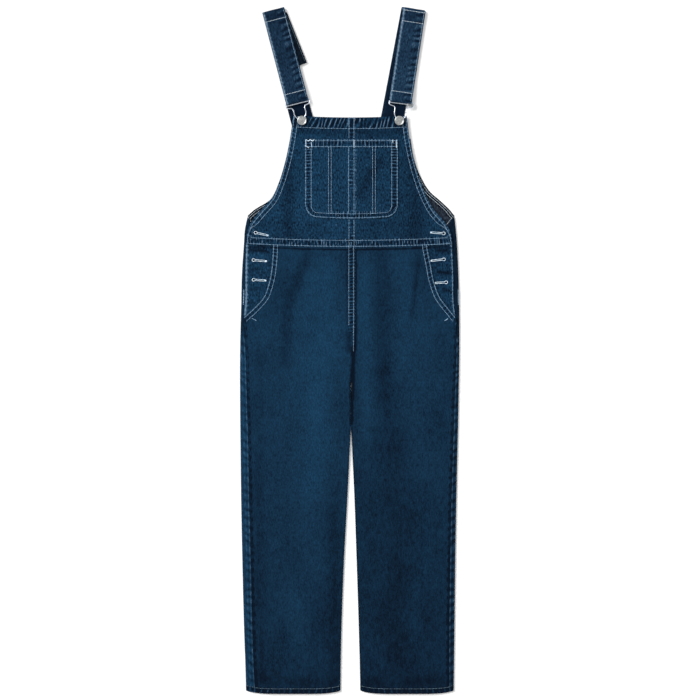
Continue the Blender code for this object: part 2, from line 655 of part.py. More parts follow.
for old in list(bpy.data.objects):
    bpy.data.objects.remove(old)
collection = bpy.data.collections.new("dungarees")
bpy.context.scene.collection.children.link(collection)
garment = bpy.data.objects.new("garment", None)
garment.location = (-MIDDLE[0] * MM, -MIDDLE[1] * MM, 0)
collection.objects.link(garment)
materials = {
    "denim": finish("denim", (0.014, 0.04, 0.085), 0.85),
    "denim_back": finish("denim_back", (0.012, 0.035, 0.075), 0.85),
    "metal": finish("metal", (0.72, 0.72, 0.70), 0.3, 1.0),
}

for half_name in ("right", "left"):
    front_leg(half_name)
    back_leg(half_name)
    hip_facing(half_name)
    bib(half_name)
    pocket(half_name)
back_bib()
for strap_spec in STRAPS:
    strap(strap_spec)
    buckle(strap_spec)
    button(strap_spec)
strap_tail()
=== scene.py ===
# %% [markdown]
# # Denim dungarees, laid flat
#
# The real thing is a pair of bib-and-brace dungarees, face up on a table, with the straps laid
# out above the bib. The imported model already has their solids. This file makes what the eye
# sees: cloth with hems and puckered seams, sewing, buttonholes, wire clips and buttons.
# Everything is worked out in millimetres from the centre-front seam (x = 0) and the hem line
# (y = 0), as a tailor would measure it, and is moved to the model's place at the very end.
# Right and left are the wearer's own.

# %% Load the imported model
import math
from collections import namedtuple

import bpy
import numpy as np
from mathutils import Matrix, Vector


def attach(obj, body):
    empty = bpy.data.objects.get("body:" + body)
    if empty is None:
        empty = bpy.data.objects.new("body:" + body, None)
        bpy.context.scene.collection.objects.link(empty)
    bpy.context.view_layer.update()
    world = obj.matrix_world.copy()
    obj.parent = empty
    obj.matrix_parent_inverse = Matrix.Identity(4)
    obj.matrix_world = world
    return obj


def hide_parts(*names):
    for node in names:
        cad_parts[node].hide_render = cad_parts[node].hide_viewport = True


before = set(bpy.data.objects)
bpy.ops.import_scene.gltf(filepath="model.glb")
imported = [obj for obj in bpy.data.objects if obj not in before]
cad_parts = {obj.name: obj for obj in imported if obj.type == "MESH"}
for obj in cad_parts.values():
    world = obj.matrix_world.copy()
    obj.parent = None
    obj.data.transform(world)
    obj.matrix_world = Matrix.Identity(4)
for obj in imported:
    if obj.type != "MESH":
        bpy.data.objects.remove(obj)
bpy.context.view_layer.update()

MM = 0.001
MIDDLE = np.array([-2.8, 754.9, 0.0])  # middle of the garment, from the centre seam and the hem line
SIGN = {"right": -1, "left": 1}

# %% [markdown]
# ## Camera
#
# The photograph looks straight down. A long lens far away keeps the sides of the garment
# upright, as they are there. The view is 1.54 m wide at the cloth: 700 pixels of 2.2 mm.

# %% Camera
VIEW_WIDTH, CAMERA_HEIGHT, CLOTH_HEIGHT, SENSOR = 1.54, 5.0, 0.006, 36.0
camera_data = bpy.data.cameras.new("camera")
camera_data.sensor_width = SENSOR
camera_data.lens = SENSOR * (CAMERA_HEIGHT - CLOTH_HEIGHT) / VIEW_WIDTH
camera = bpy.data.objects.new("camera", camera_data)
camera.location = (0.0006, 0.0019, CAMERA_HEIGHT)
bpy.context.scene.collection.objects.link(camera)
bpy.context.scene.camera = camera
print("lens", round(camera_data.lens, 1), "mm")

# %% [markdown]
# ## Light
#
# Creases in flat cloth are a millimetre deep, so they only show when light comes in low from
# one side. A broad, distant lamp on the left does that and lights the whole floor alike. A
# weak one fills the shadows from the other side, and a white sky does the rest.

# %% Light
bpy.context.scene.view_settings.view_transform = "Standard"


def lamp(name, comes_from, strength, softness):
    """A distant lamp whose light comes from a direction. Its size in the sky, in degrees,
    softens its shadows."""
    data = bpy.data.lights.new(name, "SUN")
    data.energy = strength
    data.angle = math.radians(softness)
    made = bpy.data.objects.new(name, data)
    made.rotation_euler = (-Vector(comes_from)).to_track_quat("-Z", "Y").to_euler()
    bpy.context.scene.collection.objects.link(made)
    print(name, "lamp", strength)


lamp("key", (-0.70, 0.46, 0.62), strength=3.5, softness=34)
lamp("fill", (0.62, -0.34, 0.72), strength=0.6, softness=50)
sky = bpy.data.worlds.new("sky")
sky.use_nodes = True
background = sky.node_tree.nodes["Background"].inputs
background["Color"].default_value = (1.0, 1.0, 1.0, 1.0)
background["Strength"].default_value = 0.62
bpy.context.scene.world = sky

# %% [markdown]
# ## Materials as expressions
#
# A material is a net of nodes. Drawing it by hand gets muddled, so one small class wraps a
# socket: sums and products of sockets add the Math nodes by themselves, and one method adds
# any other node.


# %% Socket maths
class Socket:
    """A socket of a material. Arithmetic on it adds Math nodes, and gives a new socket."""

    def __init__(self, tree, socket=None):
        self.tree = tree
        self.socket = socket

    def node(self, kind, settings, values, out=0):
        """Adds a node: its settings first, then the values or links of its sockets."""
        made = self.tree.nodes.new("ShaderNode" + kind)
        for name, value in settings.items():
            setattr(made, name, value)
        for key, value in values.items():
            if isinstance(value, Socket):
                self.tree.links.new(value.socket, made.inputs[key])
            else:
                made.inputs[key].default_value = value
        return Socket(self.tree, made.outputs[out])

    def math(self, operation, first, second=0.0):
        return self.node("Math", {"operation": operation}, {0: first, 1: second})

    def __add__(self, other):
        return self.math("ADD", self, other)

    def __sub__(self, other):
        return self.math("SUBTRACT", self, other)

    def __rsub__(self, other):
        return self.math("SUBTRACT", other, self)

    def __mul__(self, other):
        return self.math("MULTIPLY", self, other)

    __radd__ = __add__
    __rmul__ = __mul__

    def limited(self, low=0.0, high=1.0):
        """Kept between two numbers."""
        return self.math("MINIMUM", self.math("MAXIMUM", self, low), high)

    def mixed(self, first, second):
        """The first colour where this is 0, and the second where it is 1."""
        return self.node("Mix", {"data_type": "RGBA"}, {0: self, 6: first, 7: second}, out=2)

    def stretched(self, across, lengthwise, detail=2.0):
        """Noise round 0, in grains of those sizes in millimetres, across and along the cloth."""
        scale = (1 / (across * MM), 1 / (lengthwise * MM), 1 / (across * MM))
        spread = self.node("VectorMath", {"operation": "MULTIPLY"}, {0: self, 1: scale})
        return self.node("TexNoise", {}, {"Vector": spread, "Scale": 1.0, "Detail": detail}) - 0.5


def linear(red, green, blue):
    """The shader's colour for an 8-bit screen colour."""
    share = np.array([red, green, blue]) / 255
    curve = np.where(share <= 0.04045, share / 12.92, ((share + 0.055) / 1.055) ** 2.4)
    return (*curve.tolist(), 1.0)


def new_material(name, constants):
    """A material with its surface's constants: (material, surface shader, first socket)."""
    material = bpy.data.materials.new(name)
    material.use_nodes = True
    shader = material.node_tree.nodes["Principled BSDF"]
    for socket, value in constants.items():
        shader.inputs[socket].default_value = value
    print("material", name)
    return material, shader, Socket(material.node_tree)


def plug(shader, name, value):
    """Links an expression to one of the surface shader's sockets."""
    value.tree.links.new(value.socket, shader.inputs[name])


def emboss(shader, height, strength, depth):
    """Fine relief on the shader's normal, as deep as that in metres."""
    values = {"Strength": strength, "Distance": depth, "Height": height}
    plug(shader, "Normal", height.node("Bump", {}, values))


# %% [markdown]
# ## Denim
#
# Denim is a twill: indigo warp threads over white weft, in fine diagonal ribs. Warp yarn is
# uneven, so the dye wears off it in streaks along the leg, and stone washing leaves soft clouds.
# The cloth is therefore a mix of a deep and a washed blue. Noise of four sizes, stretched along
# the warp, drives the mix. Two marks on the mesh add the rest. The first is pale on the ridges of
# puckers, as worn denim is, and dark between them and over seam bands, partly as painted shade.
# The second paints shade into the hollows of the big creases, below raised seam edges and at the
# crotch, and makes some ridges paler with fading.

# %% Denim
RIBS = (6500.0, 4300.0, 0.0)  # turn of the twill's wave in a metre across and along, in radians


def denim(name, deep, washed, bleached, grain=1.0):
    """Twill cloth between a deep and a washed colour, with a third on its rubbed ridges."""
    constants = {"Sheen Weight": 0.02, "Sheen Roughness": 0.5, "Specular IOR Level": 0.04}
    material, shader, start = new_material(name, constants)
    spot = start.node("UVMap", {"uv_map": "cloth"}, {})
    wear_and_shade = start.node("Attribute", {"attribute_name": "wear_and_shade"}, {}, out="Fac")
    shade_and_fade = start.node("Attribute", {"attribute_name": "shade_and_fade"}, {}, out="Fac")
    fibre, speck = spot.stretched(1.2, 13.0), spot.stretched(2.6, 5.5, 3.0)
    patch, cloud = spot.stretched(8.0, 19.0, 3.0), spot.stretched(60.0, 110.0)
    rib = spot.node("VectorMath", {"operation": "DOT_PRODUCT"}, {0: spot, 1: RIBS}, out=1)
    twill = rib.math("SINE", rib) + fibre * 1.5
    fine = (fibre * 0.9 + speck * 1.3) * (shade_and_fade * 2.2 + 1).limited(0.35, 1.15) * grain
    # Both marks shift the mix: above 0 paler, as wear and fading; below 0 darker, partly as painted shade.
    wash = 0.31 + fine + patch * 0.3 + cloud * 0.28 + twill * 0.03 + shade_and_fade
    cloth = (wash + wear_and_shade * 0.42).limited().mixed(deep, washed)
    ridge = (wear_and_shade * 0.85 - 0.25 + fine * 0.8).limited(0.0, 0.75)
    plug(shader, "Base Color", ridge.mixed(cloth, bleached))
    plug(shader, "Roughness", 0.88 - speck * 0.2)
    emboss(shader, twill * 0.4 + fibre + speck, strength=0.6, depth=0.0004)
    return material


BLUES = linear(3, 15, 30), linear(29, 74, 107), linear(100, 126, 148)
denim_front = denim("denim_front", *BLUES, grain=0.5)
denim_bib = denim("denim_bib", *BLUES, grain=1.2)
# The back's dark denim also serves as painted shade: on the strap's spare end and in the buttonhole slits.
denim_back = denim("denim_back", linear(5, 12, 22), linear(36, 64, 84), BLUES[2])
denim_strap = denim("denim_strap", linear(5, 20, 38), linear(42, 76, 104), linear(120, 142, 160))
denim_inside = denim("denim_inside", linear(7, 12, 20), linear(62, 74, 90), linear(150, 160, 172), grain=1.2)

# %% [markdown]
# ## Thread and metal
#
# The sewing thread is a pale blue-grey cotton, a little dirty between its stitches. Buttons and
# clips are nickel-plated steel that has been tumbled with the denim, so it is slightly mottled.


# %% Thread and metal
def thread(name, dull, bright, clean=0.55):
    """Cotton between two colours: spots of dirt, and fine strands in relief."""
    material, shader, start = new_material(name, {"Sheen Weight": 0.15})
    spot = start.node("TexCoord", {}, {}, out="Object")
    dirt, strand = spot.stretched(5.0, 5.0), spot.stretched(0.35, 0.35)
    plug(shader, "Base Color", (clean + dirt * 2.4 + strand * 0.5).limited().mixed(dull, bright))
    plug(shader, "Roughness", 0.7 + strand * 0.2)
    emboss(shader, strand, strength=0.4, depth=0.0001)
    return material


def metal(name, dark, light, roughness):
    """Plated metal between two colours, rougher where it is stained."""
    material, shader, start = new_material(name, {"Metallic": 1.0})
    spot = start.node("TexCoord", {}, {}, out="Object")
    stain, grain = spot.stretched(3.0, 3.0, 3.0), spot.stretched(0.5, 0.5)
    plug(shader, "Base Color", (0.6 + stain * 1.2).limited().mixed(dark, light))
    plug(shader, "Roughness", (roughness + stain * 0.3 + grain * 0.1).limited(0.1, 0.8))
    emboss(shader, grain, strength=0.15, depth=0.0001)
    return material


thread_white = thread("thread_white", linear(158, 190, 216), linear(236, 246, 252))
thread_bright = thread("thread_bright", linear(70, 112, 148), linear(168, 202, 228))
thread_worn = thread("thread_worn", linear(26, 56, 80), linear(116, 150, 168), clean=0.42)
nickel = metal("nickel", linear(128, 132, 132), linear(194, 197, 196), roughness=0.36)
steel = metal("steel", linear(160, 168, 180), linear(226, 234, 246), roughness=0.28)

# %% [markdown]
# ## The outline
#
# The garment isn't symmetrical: a real one never lies quite straight. Each edge is a table of
# heights and distances from the centre seam, nearly the one that the solids were made from, and
# a cubic curve runs through its rows.


# %% Tables of the outline
def table(columns, rows):
    """Rows of numbers as named columns."""
    print("table of", columns, "with", len(rows), "rows")
    return dict(zip(columns.split(), np.array(rows, float).T))


SIDES = table("height right_side right_seam right_inseam left_inseam left_seam left_side", [
    (0, -231.0, -210.5, -23.2, 20.5, 216.5, 226.0),
    (60, -232.5, -214.0, -22.6, 19.4, 216.0, 226.8),
    (130, -235.0, -216.5, -21.3, 17.6, 216.0, 227.7),
    (285, -239.0, -220.0, -15.8, 12.7, 218.0, 229.5),
    (440, -242.0, -224.0, -7.5, 7.2, 221.0, 232.2),
    (548, -243.2, -225.9, -2.2, 2.2, 224.6, 234.7),
    (571, -243.5, -226.4, -1.1, 1.3, 225.4, 235.3),
    (583, -243.6, -226.7, -0.2, 0.3, 225.8, 235.6),
    (592, -243.7, -227.0, -0.04, 0.04, 226.1, 235.8),
    (655, -244.2, -229.0, -0.04, 0.04, 228.0, 237.0),
    (745, -244.2, -231.5, -0.04, 0.04, 231.5, 238.4),
    (815, -242.8, -235.5, -0.6, 0.6, 232.0, 238.6),
    (850, -241.8, -235.5, -0.6, 0.6, 232.0, 238.2),
    (930, -239.8, -235.5, -0.6, 0.6, 232.0, 236.2),
    (993, -235.6, -235.5, -0.6, 0.6, 232.0, 233.3),
    (1024, -233.6, -235.5, -0.6, 0.6, 232.0, 230.8),
    (1052, -228.0, -235.5, -0.6, 0.6, 232.0, 227.8),
])
PLACKET = table("height right left", [
    (826, -236.5, 230.5), (862, -233.0, 226.5), (921, -232.5, 225.5), (990, -231.0, 222.5),
])
MOUTH = table("height right left", [
    (829, -236.0, 230.0), (849, -214.0, 214.0), (869, -195.5, 198.5),
    (906, -181.0, 183.5), (945, -174.5, 175.5), (983, -172.0, 168.0),
])
ARMHOLE = table("height right left", [
    (983, -231.0, 222.5), (1010, -227.5, 218.5), (1032, -219.5, 206.5),
    (1058, -199.5, 184.0), (1088, -173.5, 167.0), (1120, -159.0, 154.0),
    (1160, -146.5, 141.5), (1210, -135.5, 130.5), (1267, -127.0, 122.5),
])
BACK_ARMHOLE = table("height right left", [
    (1052, -228.0, 227.8), (1066, -212.0, 216.5), (1084, -182.5, 198.0), (1104, -160.0, 175.0),
    (1135, -147.0, 155.0), (1175, -136.5, 139.5), (1222, -130.0, 131.0),
])

# %% [markdown]
# A few small tools do most of the drawing: an S-curve, a curve through a table, the distance from
# any line with the run along it, and a line moved sideways.


# %% Curves
def smooth(t):
    """0 below 0, 1 above 1, and an S-curve between them."""
    t = np.clip(t, 0.0, 1.0)
    return t * t * (3 - 2 * t)


def along(rows, column, height):
    """A column of a table at any height: a cubic curve through its rows."""
    h, value = rows["height"], rows[column]
    slope = np.gradient(value, h)
    height = np.clip(height, h[0], h[-1])
    k = np.clip(np.searchsorted(h, height, side="right") - 1, 0, len(h) - 2)
    span = h[k + 1] - h[k]
    t = (height - h[k]) / span
    ends = value[k] * (1 + 2 * t) * (1 - t) ** 2 + value[k + 1] * t * t * (3 - 2 * t)
    return ends + span * slope[k] * t * (1 - t) ** 2 - span * slope[k + 1] * t * t * (1 - t)


def steepness(rows, column, height):
    """How much further in x an edge moves than it moves square to itself."""
    slope = (along(rows, column, height + 1) - along(rows, column, height - 1)) / 2
    return np.sqrt(1 + slope**2)


def edge_line(rows, column, low, high):
    """An edge of the outline between two heights, as a line of points 4 mm apart."""
    y = np.linspace(low, high, int((high - low) / 4) + 2)
    return stacked(along(rows, column, y), y)


def stacked(*parts):
    """Separate x, y (and z) as points."""
    return np.stack(np.broadcast_arrays(*parts), axis=-1)


def nearest(line, x, y):
    """Distance from every point to a line, and the run along the line to there. Each point is
    dropped square on to every segment, and the shortest drop is kept."""
    start, step = line[:-1], np.diff(line, axis=0)
    length = np.hypot(step[:, 0], step[:, 1])
    begins = np.cumsum(length) - length
    dx, dy = x.ravel()[:, None] - start[:, 0], y.ravel()[:, None] - start[:, 1]
    t = np.clip((dx * step[:, 0] + dy * step[:, 1]) / length**2, 0, 1)
    away = np.hypot(dx - t * step[:, 0], dy - t * step[:, 1])
    best = away.argmin(axis=1)
    row = np.arange(len(best))
    run = begins[best] + t[row, best] * length[best]
    return away[row, best].reshape(x.shape), run.reshape(x.shape)


def lengths(line):
    """The run along a line to each of its points."""
    steps = np.linalg.norm(np.diff(line, axis=0), axis=1)
    return np.concatenate([[0.0], np.cumsum(steps)])


def read_off(values, run, places):
    """Rows of numbers that belong to a run, read between them at other places of it."""
    return np.stack([np.interp(places, run, column) for column in values.T], axis=1)


def resampled(line, step=1.1):
    """The same line with its points closer together."""
    run = lengths(line)
    return read_off(line, run, np.linspace(0, run[-1], max(2, int(run[-1] / step))))


def beside(line, distance):
    """A line moved sideways: each point goes that far to the right of the way the line runs."""
    way = np.gradient(line, axis=0)
    way = way / np.linalg.norm(way, axis=1)[:, None]
    return line + distance * np.stack([way[:, 1], -way[:, 0]], axis=1)


# %% [markdown]
# ## Creases
#
# The main creases are listed one by one, each with its own length, width and depth. They are the
# ones that the solids have, with finer drag lines at the crotch, the hips and the bib. More
# lists paint the colour: fading makes some ridges paler, and painted shade darkens the crease
# hollows, the gap at the crotch, the cloth just below raised seam edges and above the hems.
# Each row is x and y of one end, x and y of the other, half the width, and the depth or the
# change of colour.

# %% Creases, fading and painted shade
CREASES = [
    (-92, 960, -88, 250, 46, 1.3), (-147, 985, -160, 640, 24, -1.0), (-190, 700, -175, 120, 34, 0.7),
    (66, 985, 74, 640, 20, -1.1), (74, 660, 98, 150, 26, -0.9), (32, 950, 40, 480, 24, 0.9),
    (150, 900, 156, 200, 44, 1.1), (-141, 1175, -145, 1010, 18, -0.7), (136, 1195, 140, 1010, 18, -0.7),
]
DRAG_LINES = [
    (-14, 712, -96, 792, 9, -0.45), (-12, 690, -120, 700, 10, -0.4), (-16, 668, -74, 560, 11, -0.5),
    (-30, 735, -130, 850, 12, 0.4), (14, 716, 84, 806, 9, -0.45), (13, 694, 118, 718, 10, -0.4),
    (16, 664, 66, 540, 11, -0.45), (34, 740, 128, 842, 12, 0.35), (-96, 968, -118, 905, 9, -0.55),
    (-118, 905, -139, 846, 10, -0.45), (141, 961, 139, 872, 7, -0.5), (-60, 430, -128, 372, 13, -0.4),
    (-170, 480, -96, 402, 15, 0.35), (64, 452, 140, 388, 13, -0.4), (168, 500, 96, 428, 15, 0.35),
    (-150, 214, -70, 176, 14, 0.3), (-60, 118, -128, 74, 12, -0.35), (70, 190, 156, 150, 14, 0.3),
    (60, 92, 120, 52, 12, -0.3), (-112, 1040, -62, 1012, 9, -0.35), (112, 1046, 70, 1014, 9, -0.35),
    (-20, 1034, 24, 1040, 10, 0.3), (68, 1181, 15, 1093, 12, -0.3),
]
SHADES_AND_FADES = [
    (-137, 1175, -139, 999, 13, -0.16), (141, 1212, 146, 990, 20, -0.13), (68, 1181, 15, 1093, 11, -0.14),
    (-95, 970, -139, 851, 14, -0.14), (-139, 851, -145, 719, 14, -0.12), (-50, 955, -50, 800, 24, 0.1),
    (-70, 800, -78, 430, 32, 0.12), (-116, 260, -116, 75, 26, 0.08), (-37, 464, -37, 20, 16, -0.09),
    (-202, 760, -199, 30, 14, -0.07), (69, 977, 74, 603, 16, -0.05), (31, 977, 34, 560, 16, 0.08),
    (112, 977, 112, 700, 22, 0.06), (104, 600, 108, 60, 30, -0.06), (150, 964, 133, 822, 6, -0.14),
    (6.0, 766, 3.6, 716, 4.2, -0.45), (3.6, 716, 1.8, 650, 5.0, -0.5), (1.5, 650, 0.4, 592, 3.2, -0.55),
    (-4, 800, -4, 750, 6.5, -0.2), (10.4, 978, 9.8, 756, 2.2, -0.45), (-9.0, 975, -9.0, 812, 3.0, -0.16),
    (-232, 984.5, -112, 979.5, 1.8, -0.45), (-112, 979.5, 0, 977.5, 1.8, -0.45),
    (0, 977.5, 112, 979.5, 1.8, -0.45), (112, 979.5, 228, 984.5, 1.8, -0.45),
    (-120, 1236, 118, 1236, 7, -0.14), (-205, 30, -30, 22, 14, -0.08), (30, 22, 210, 30, 14, -0.08),
]
BACK_FADES = [
    (-120, 900, -126, 760, 52, 0.12), (120, 905, 124, 765, 50, 0.12), (-118, 560, -112, 330, 30, 0.08),
    (116, 540, 110, 300, 32, 0.08), (-60, 690, -150, 640, 12, -0.12), (58, 688, 150, 646, 12, -0.12),
    (-70, 470, -160, 440, 10, -0.1), (76, 462, 164, 424, 10, -0.1),
]
FACING_SHADES_AND_FADES = [
    (190, 929, 224, 925, 3.6, -0.3), (200, 889, 222, 887, 3.2, -0.25), (196, 910, 224, 906, 5.0, 0.12),
    (186, 975, 222, 977, 4.0, -0.25), (192, 962, 224, 960, 5.0, 0.12), (-228, 977, -182, 974, 4.5, -0.28),
    (-228, 967, -190, 962, 5.0, 0.16), (-228, 931, -198, 936, 3.2, -0.2), (-230, 890, -200, 893, 3.2, -0.2),
    (-230, 870, -206, 873, 5.0, 0.12),
]
print(len(CREASES), "creases,", len(DRAG_LINES), "drag lines,", len(SHADES_AND_FADES), "fades")


def bells(rows, x, y):
    """Sum of long ridges and hollows: each is a bell curve across its line, and fades past its
    ends over its own width."""
    total = np.zeros(np.broadcast(x, y).shape)
    for x0, y0, x1, y1, width, depth in rows:
        length = math.hypot(x1 - x0, y1 - y0)
        ux, uy = (x1 - x0) / length, (y1 - y0) / length
        run = (x - x0) * ux + (y - y0) * uy
        off = (x - x0) * uy - (y - y0) * ux
        ends = smooth((run + width) / (2 * width)) * smooth((length - run + width) / (2 * width))
        total = total + depth * np.exp(-((off / width) ** 2)) * ends
    return total


def shade_and_fade(x, y, side):
    """How much paler (+) or darker (-) the cloth is painted. Crease ridges are a little paler, as
    rubbed denim is, and crease hollows darker as painted shade; the listed lines add fading and
    painted shade. It is also darker towards the hems and paler above the waist, and the left leg
    is painted darker as shade."""
    base_tone = 0.05 * smooth((y - 1000) / 60) - 0.00021 * np.maximum(0, 800 - y)
    leg = -0.055 * smooth((y + 300) / 800) if side == "left" else 0.0
    lines = 0.03 * bells(CREASES, x, y) + 0.06 * bells(DRAG_LINES, x, y)
    return bells(SHADES_AND_FADES, x, y) + lines + base_tone + leg


# %% [markdown]
# ## Seams, hems and their puckers
#
# A hem or a felled seam is a second layer, so the cloth stands up along it. Thread shrinks less
# than denim does in the wash, and the hem is pulled on to its seam a little askew, so it ropes:
# short ridges run slantwise across it. They are what makes denim look like denim, and they are
# real relief here. Their colour is pale on the ridges, as rubbed denim is, and darker in the
# hollows and over the band, which is partly painted shade. A seam is its edge line, the width and
# height of its band, the height, length and lean of its roping, how pale its sewn rows and how
# pale its ground are (below 0 the ground is darkened, partly as painted shade), and the run where
# it begins. With a roping below 0, narrow grooves take the place of the ridges.

# %% Seams
Seam = namedtuple("Seam", "line width raised rope wave skew pale base fade", defaults=(0.5, 0.0, 0))
CLOTH, GAP = 1.5, 0.3  # thickness of the cloth, and the room between two pieces
STEP, EDGE = 2.0, 0.6  # width of the slope beside a band, and radius of the cloth's edges
WOBBLE = np.random.default_rng(11).uniform(-1, 1, (3, 400))


def roping(seam, off, run):
    """Slanting ridges in a seam's band, from -0.7 to 1. A wave along the run leans as the
    distance from the edge grows. Its power of 2.4 makes narrow ridges with wider hollows
    between, and random numbers make them uneven in length, lean and height. They are read from
    another stretch of their row for every width of band."""
    knot = np.arange(WOBBLE.shape[1]) * 1.7 * seam.wave
    shift = np.interp(run + 31 * seam.width, knot, WOBBLE[0]) * 2.4
    swell = 0.65 + 0.35 * np.interp(run + 2.2 * off + 53 * seam.width, knot, WOBBLE[1])
    lean = seam.skew * (1 + np.interp(run + 17 * seam.width, knot, WOBBLE[2]))
    phase = 2 * math.pi * (run + lean * off) / seam.wave + shift
    return swell * (1.75 * (0.5 + 0.5 * np.sin(phase)) ** 2.4 - 0.7)


def rounding(off, radius):
    """Drop of a rounded edge at a distance inside it: a quarter of a circle."""
    return radius - np.sqrt(radius**2 - (radius - np.minimum(off, radius)) ** 2)


def band(seam, off, run):
    """(height, mark) of one seam at a distance from its line: the mark is pale where it is rubbed,
    and darker, partly as painted shade, in the hollows of the roping and on a ground below 0. The
    band slopes down past its width, and the cloth is pale along the rows of sewing near its two edges."""
    inside = (1 - smooth((off - seam.width) / STEP)) * smooth((run - seam.fade + 40) / 40)
    ropes = roping(seam, off, run)
    height = seam.raised * inside + seam.rope * ropes * inside * smooth((off + 0.8) / 2)
    rows = np.exp(-(((off - 1.2) / 2.3) ** 2)) + 0.8 * np.exp(-(((off - seam.width + 1.8) / 2.0) ** 2))
    return height, (2.8 * seam.rope * ropes * (1 - 0.6 * rows) + seam.base + seam.pale * rows) * inside


def stronger(one, other):
    """Whichever of two values is further from 0."""
    return np.where(np.abs(other) > np.abs(one), other, one)


def relief(seams, x, y):
    """(height, mark of rubbing and painted shade) of all the seams of a piece. Where bands cross,
    the stronger one counts, and the cloth is rounded off at every line."""
    height, worn_and_shaded, drop = np.zeros(x.shape), np.zeros(x.shape), np.zeros(x.shape)
    for seam in seams:
        off, run = nearest(seam.line, x, y)
        seam_height, seam_worn = band(seam, off, run)
        height, worn_and_shaded = stronger(height, seam_height), stronger(worn_and_shaded, seam_worn)
        drop = np.maximum(drop, rounding(off, EDGE))
    return height - drop, worn_and_shaded


# %% [markdown]
# ## From a grid to a piece of cloth
#
# Every panel is a grid of points with rows up the garment and columns across it. A second grid,
# one cloth thickness below, and a strip round the rim make it a closed wall, so the mesh has an
# inside and an outside like the real cloth. Each point carries its place in the flat cloth as
# its UV, in metres, so the weave runs straight along the panel whatever the panel does.


# %% Meshes from arrays
def make_piece(name, points, faces, finishes, uv=None, marks=None, finish_index=None):
    """A mesh object from points in millimetres, faces of equal length, and its marks."""
    mesh = bpy.data.meshes.new(name)
    corners = faces.shape[1]
    mesh.vertices.add(len(points))
    mesh.loops.add(faces.size)
    mesh.polygons.add(len(faces))
    mesh.vertices.foreach_set("co", ((points - MIDDLE) * MM).astype(np.float32).ravel())
    mesh.loops.foreach_set("vertex_index", faces.astype(np.int32).ravel())
    mesh.polygons.foreach_set("loop_start", np.arange(0, faces.size, corners, dtype=np.int32))
    mesh.polygons.foreach_set("use_smooth", np.ones(len(faces), bool))
    if uv is not None:
        layer = mesh.uv_layers.new(name="cloth")
        layer.data.foreach_set("uv", (uv * MM)[faces.ravel()].astype(np.float32).ravel())
    for mark, value in (marks or {}).items():
        mesh.attributes.new(mark, "FLOAT", "POINT").data.foreach_set("value", value.astype(np.float32))
    for finish in finishes:
        mesh.materials.append(finish)
    if finish_index is not None:
        mesh.polygons.foreach_set("material_index", finish_index.astype(np.int32))
    mesh.update(calc_edges=True)
    mesh.validate()
    made = bpy.data.objects.new(name, mesh)
    bpy.context.scene.collection.objects.link(made)
    print(f"{name}: {len(faces) * (corners - 2)} triangles")
    return made


def outside_out(points, faces):
    """Faces of a closed mesh, turned round where its signed volume is below 0. The volume is
    the sum of the tetrahedra from the origin to the faces."""
    total = 0.0
    for k in range(2, faces.shape[1]):
        a, b, c = (points[faces[:, corner]] for corner in (0, k - 1, k))
        total += np.einsum("ij,ij->", a, np.cross(b, c))
    return faces if total > 0 else faces[:, ::-1]


def quads(index):
    """The four corners of every cell of a grid of point numbers."""
    cells = [index[:-1, :-1], index[:-1, 1:], index[1:, 1:], index[1:, :-1]]
    return np.stack(cells, axis=-1).reshape(-1, 4)


def wall(name, outer, inner, uv, worn_and_shaded, shade, finishes):
    """A closed wall between two grids of points: both faces, and a strip round the rim. The
    first finish is on the outer face and the rim, the second on the inner face."""
    rows, columns = outer.shape[:2]
    count = rows * columns
    index = np.arange(count).reshape(rows, columns)
    ring = np.concatenate([index[0, :-1], index[:-1, -1], index[-1, :0:-1], index[:0:-1, 0]])
    following = np.roll(ring, -1)
    rim = np.stack([ring + count, following + count, following, ring], axis=-1)
    top, bottom = quads(index), quads(index + count)[:, ::-1]
    points = np.concatenate([outer.reshape(-1, 3), inner.reshape(-1, 3)])
    faces = outside_out(points, np.concatenate([top, rim, bottom]))
    which = np.repeat([0, 0, 1], [len(top), len(rim), len(bottom)])
    marks = {"wear_and_shade": np.tile(worn_and_shaded.ravel(), 2), "shade_and_fade": np.tile(shade.ravel(), 2)}
    return make_piece(name, points, faces, finishes, np.tile(uv.reshape(-1, 2), (2, 1)), marks, which)


def keep(piece, node=None):
    """Every piece rides on the garment's one body, and the solid it stands for, if any, is hidden."""
    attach(piece, "root")
    if node:
        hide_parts(node)
    return piece


def panel(name, face, side, x, y, shade, finishes, node):
    """(piece, grid) of a panel at those points. Its face function gives its underside, its face
    and its mark of rubbing and painted shade there."""
    low, high, worn_and_shaded = face(side, x, y)
    grid = stacked(x, y, high)
    made = wall(name, grid, stacked(x, y, low), stacked(x, y), worn_and_shaded, shade, finishes)
    return keep(made, node), grid


# %% [markdown]
# ## The cloth's cut sizes
#
# Each panel is a sheet that was cut flat. Its cut is measured on the grid itself: the longest
# row, the longest column and the area of the face that shows. Hems that are turned in are
# extra.

# %% Cut sizes
CUTS = {}


def declare(piece, outer, sewing):
    """Records the size of a panel's cut, in metres, under its name."""
    points = outer * MM
    across = np.linalg.norm(np.diff(points, axis=1), axis=2).sum(axis=1).max()
    length = np.linalg.norm(np.diff(points, axis=0), axis=2).sum(axis=0).max()
    one, two = points[1:, 1:] - points[:-1, :-1], points[1:, :-1] - points[:-1, 1:]
    area = np.linalg.norm(np.cross(one, two), axis=2).sum() / 2
    CUTS[piece.name] = (round(across, 3), round(length, 3), round(area, 4))


# %% [markdown]
# ## Sewing
#
# A stitch is a short, slightly arched piece of thread that dives into the cloth at both ends. A
# row of stitches would be thousands of objects, so one small shape of 24 triangles is copied
# along every row as arrays, and each panel gets one mesh with all its sewing.

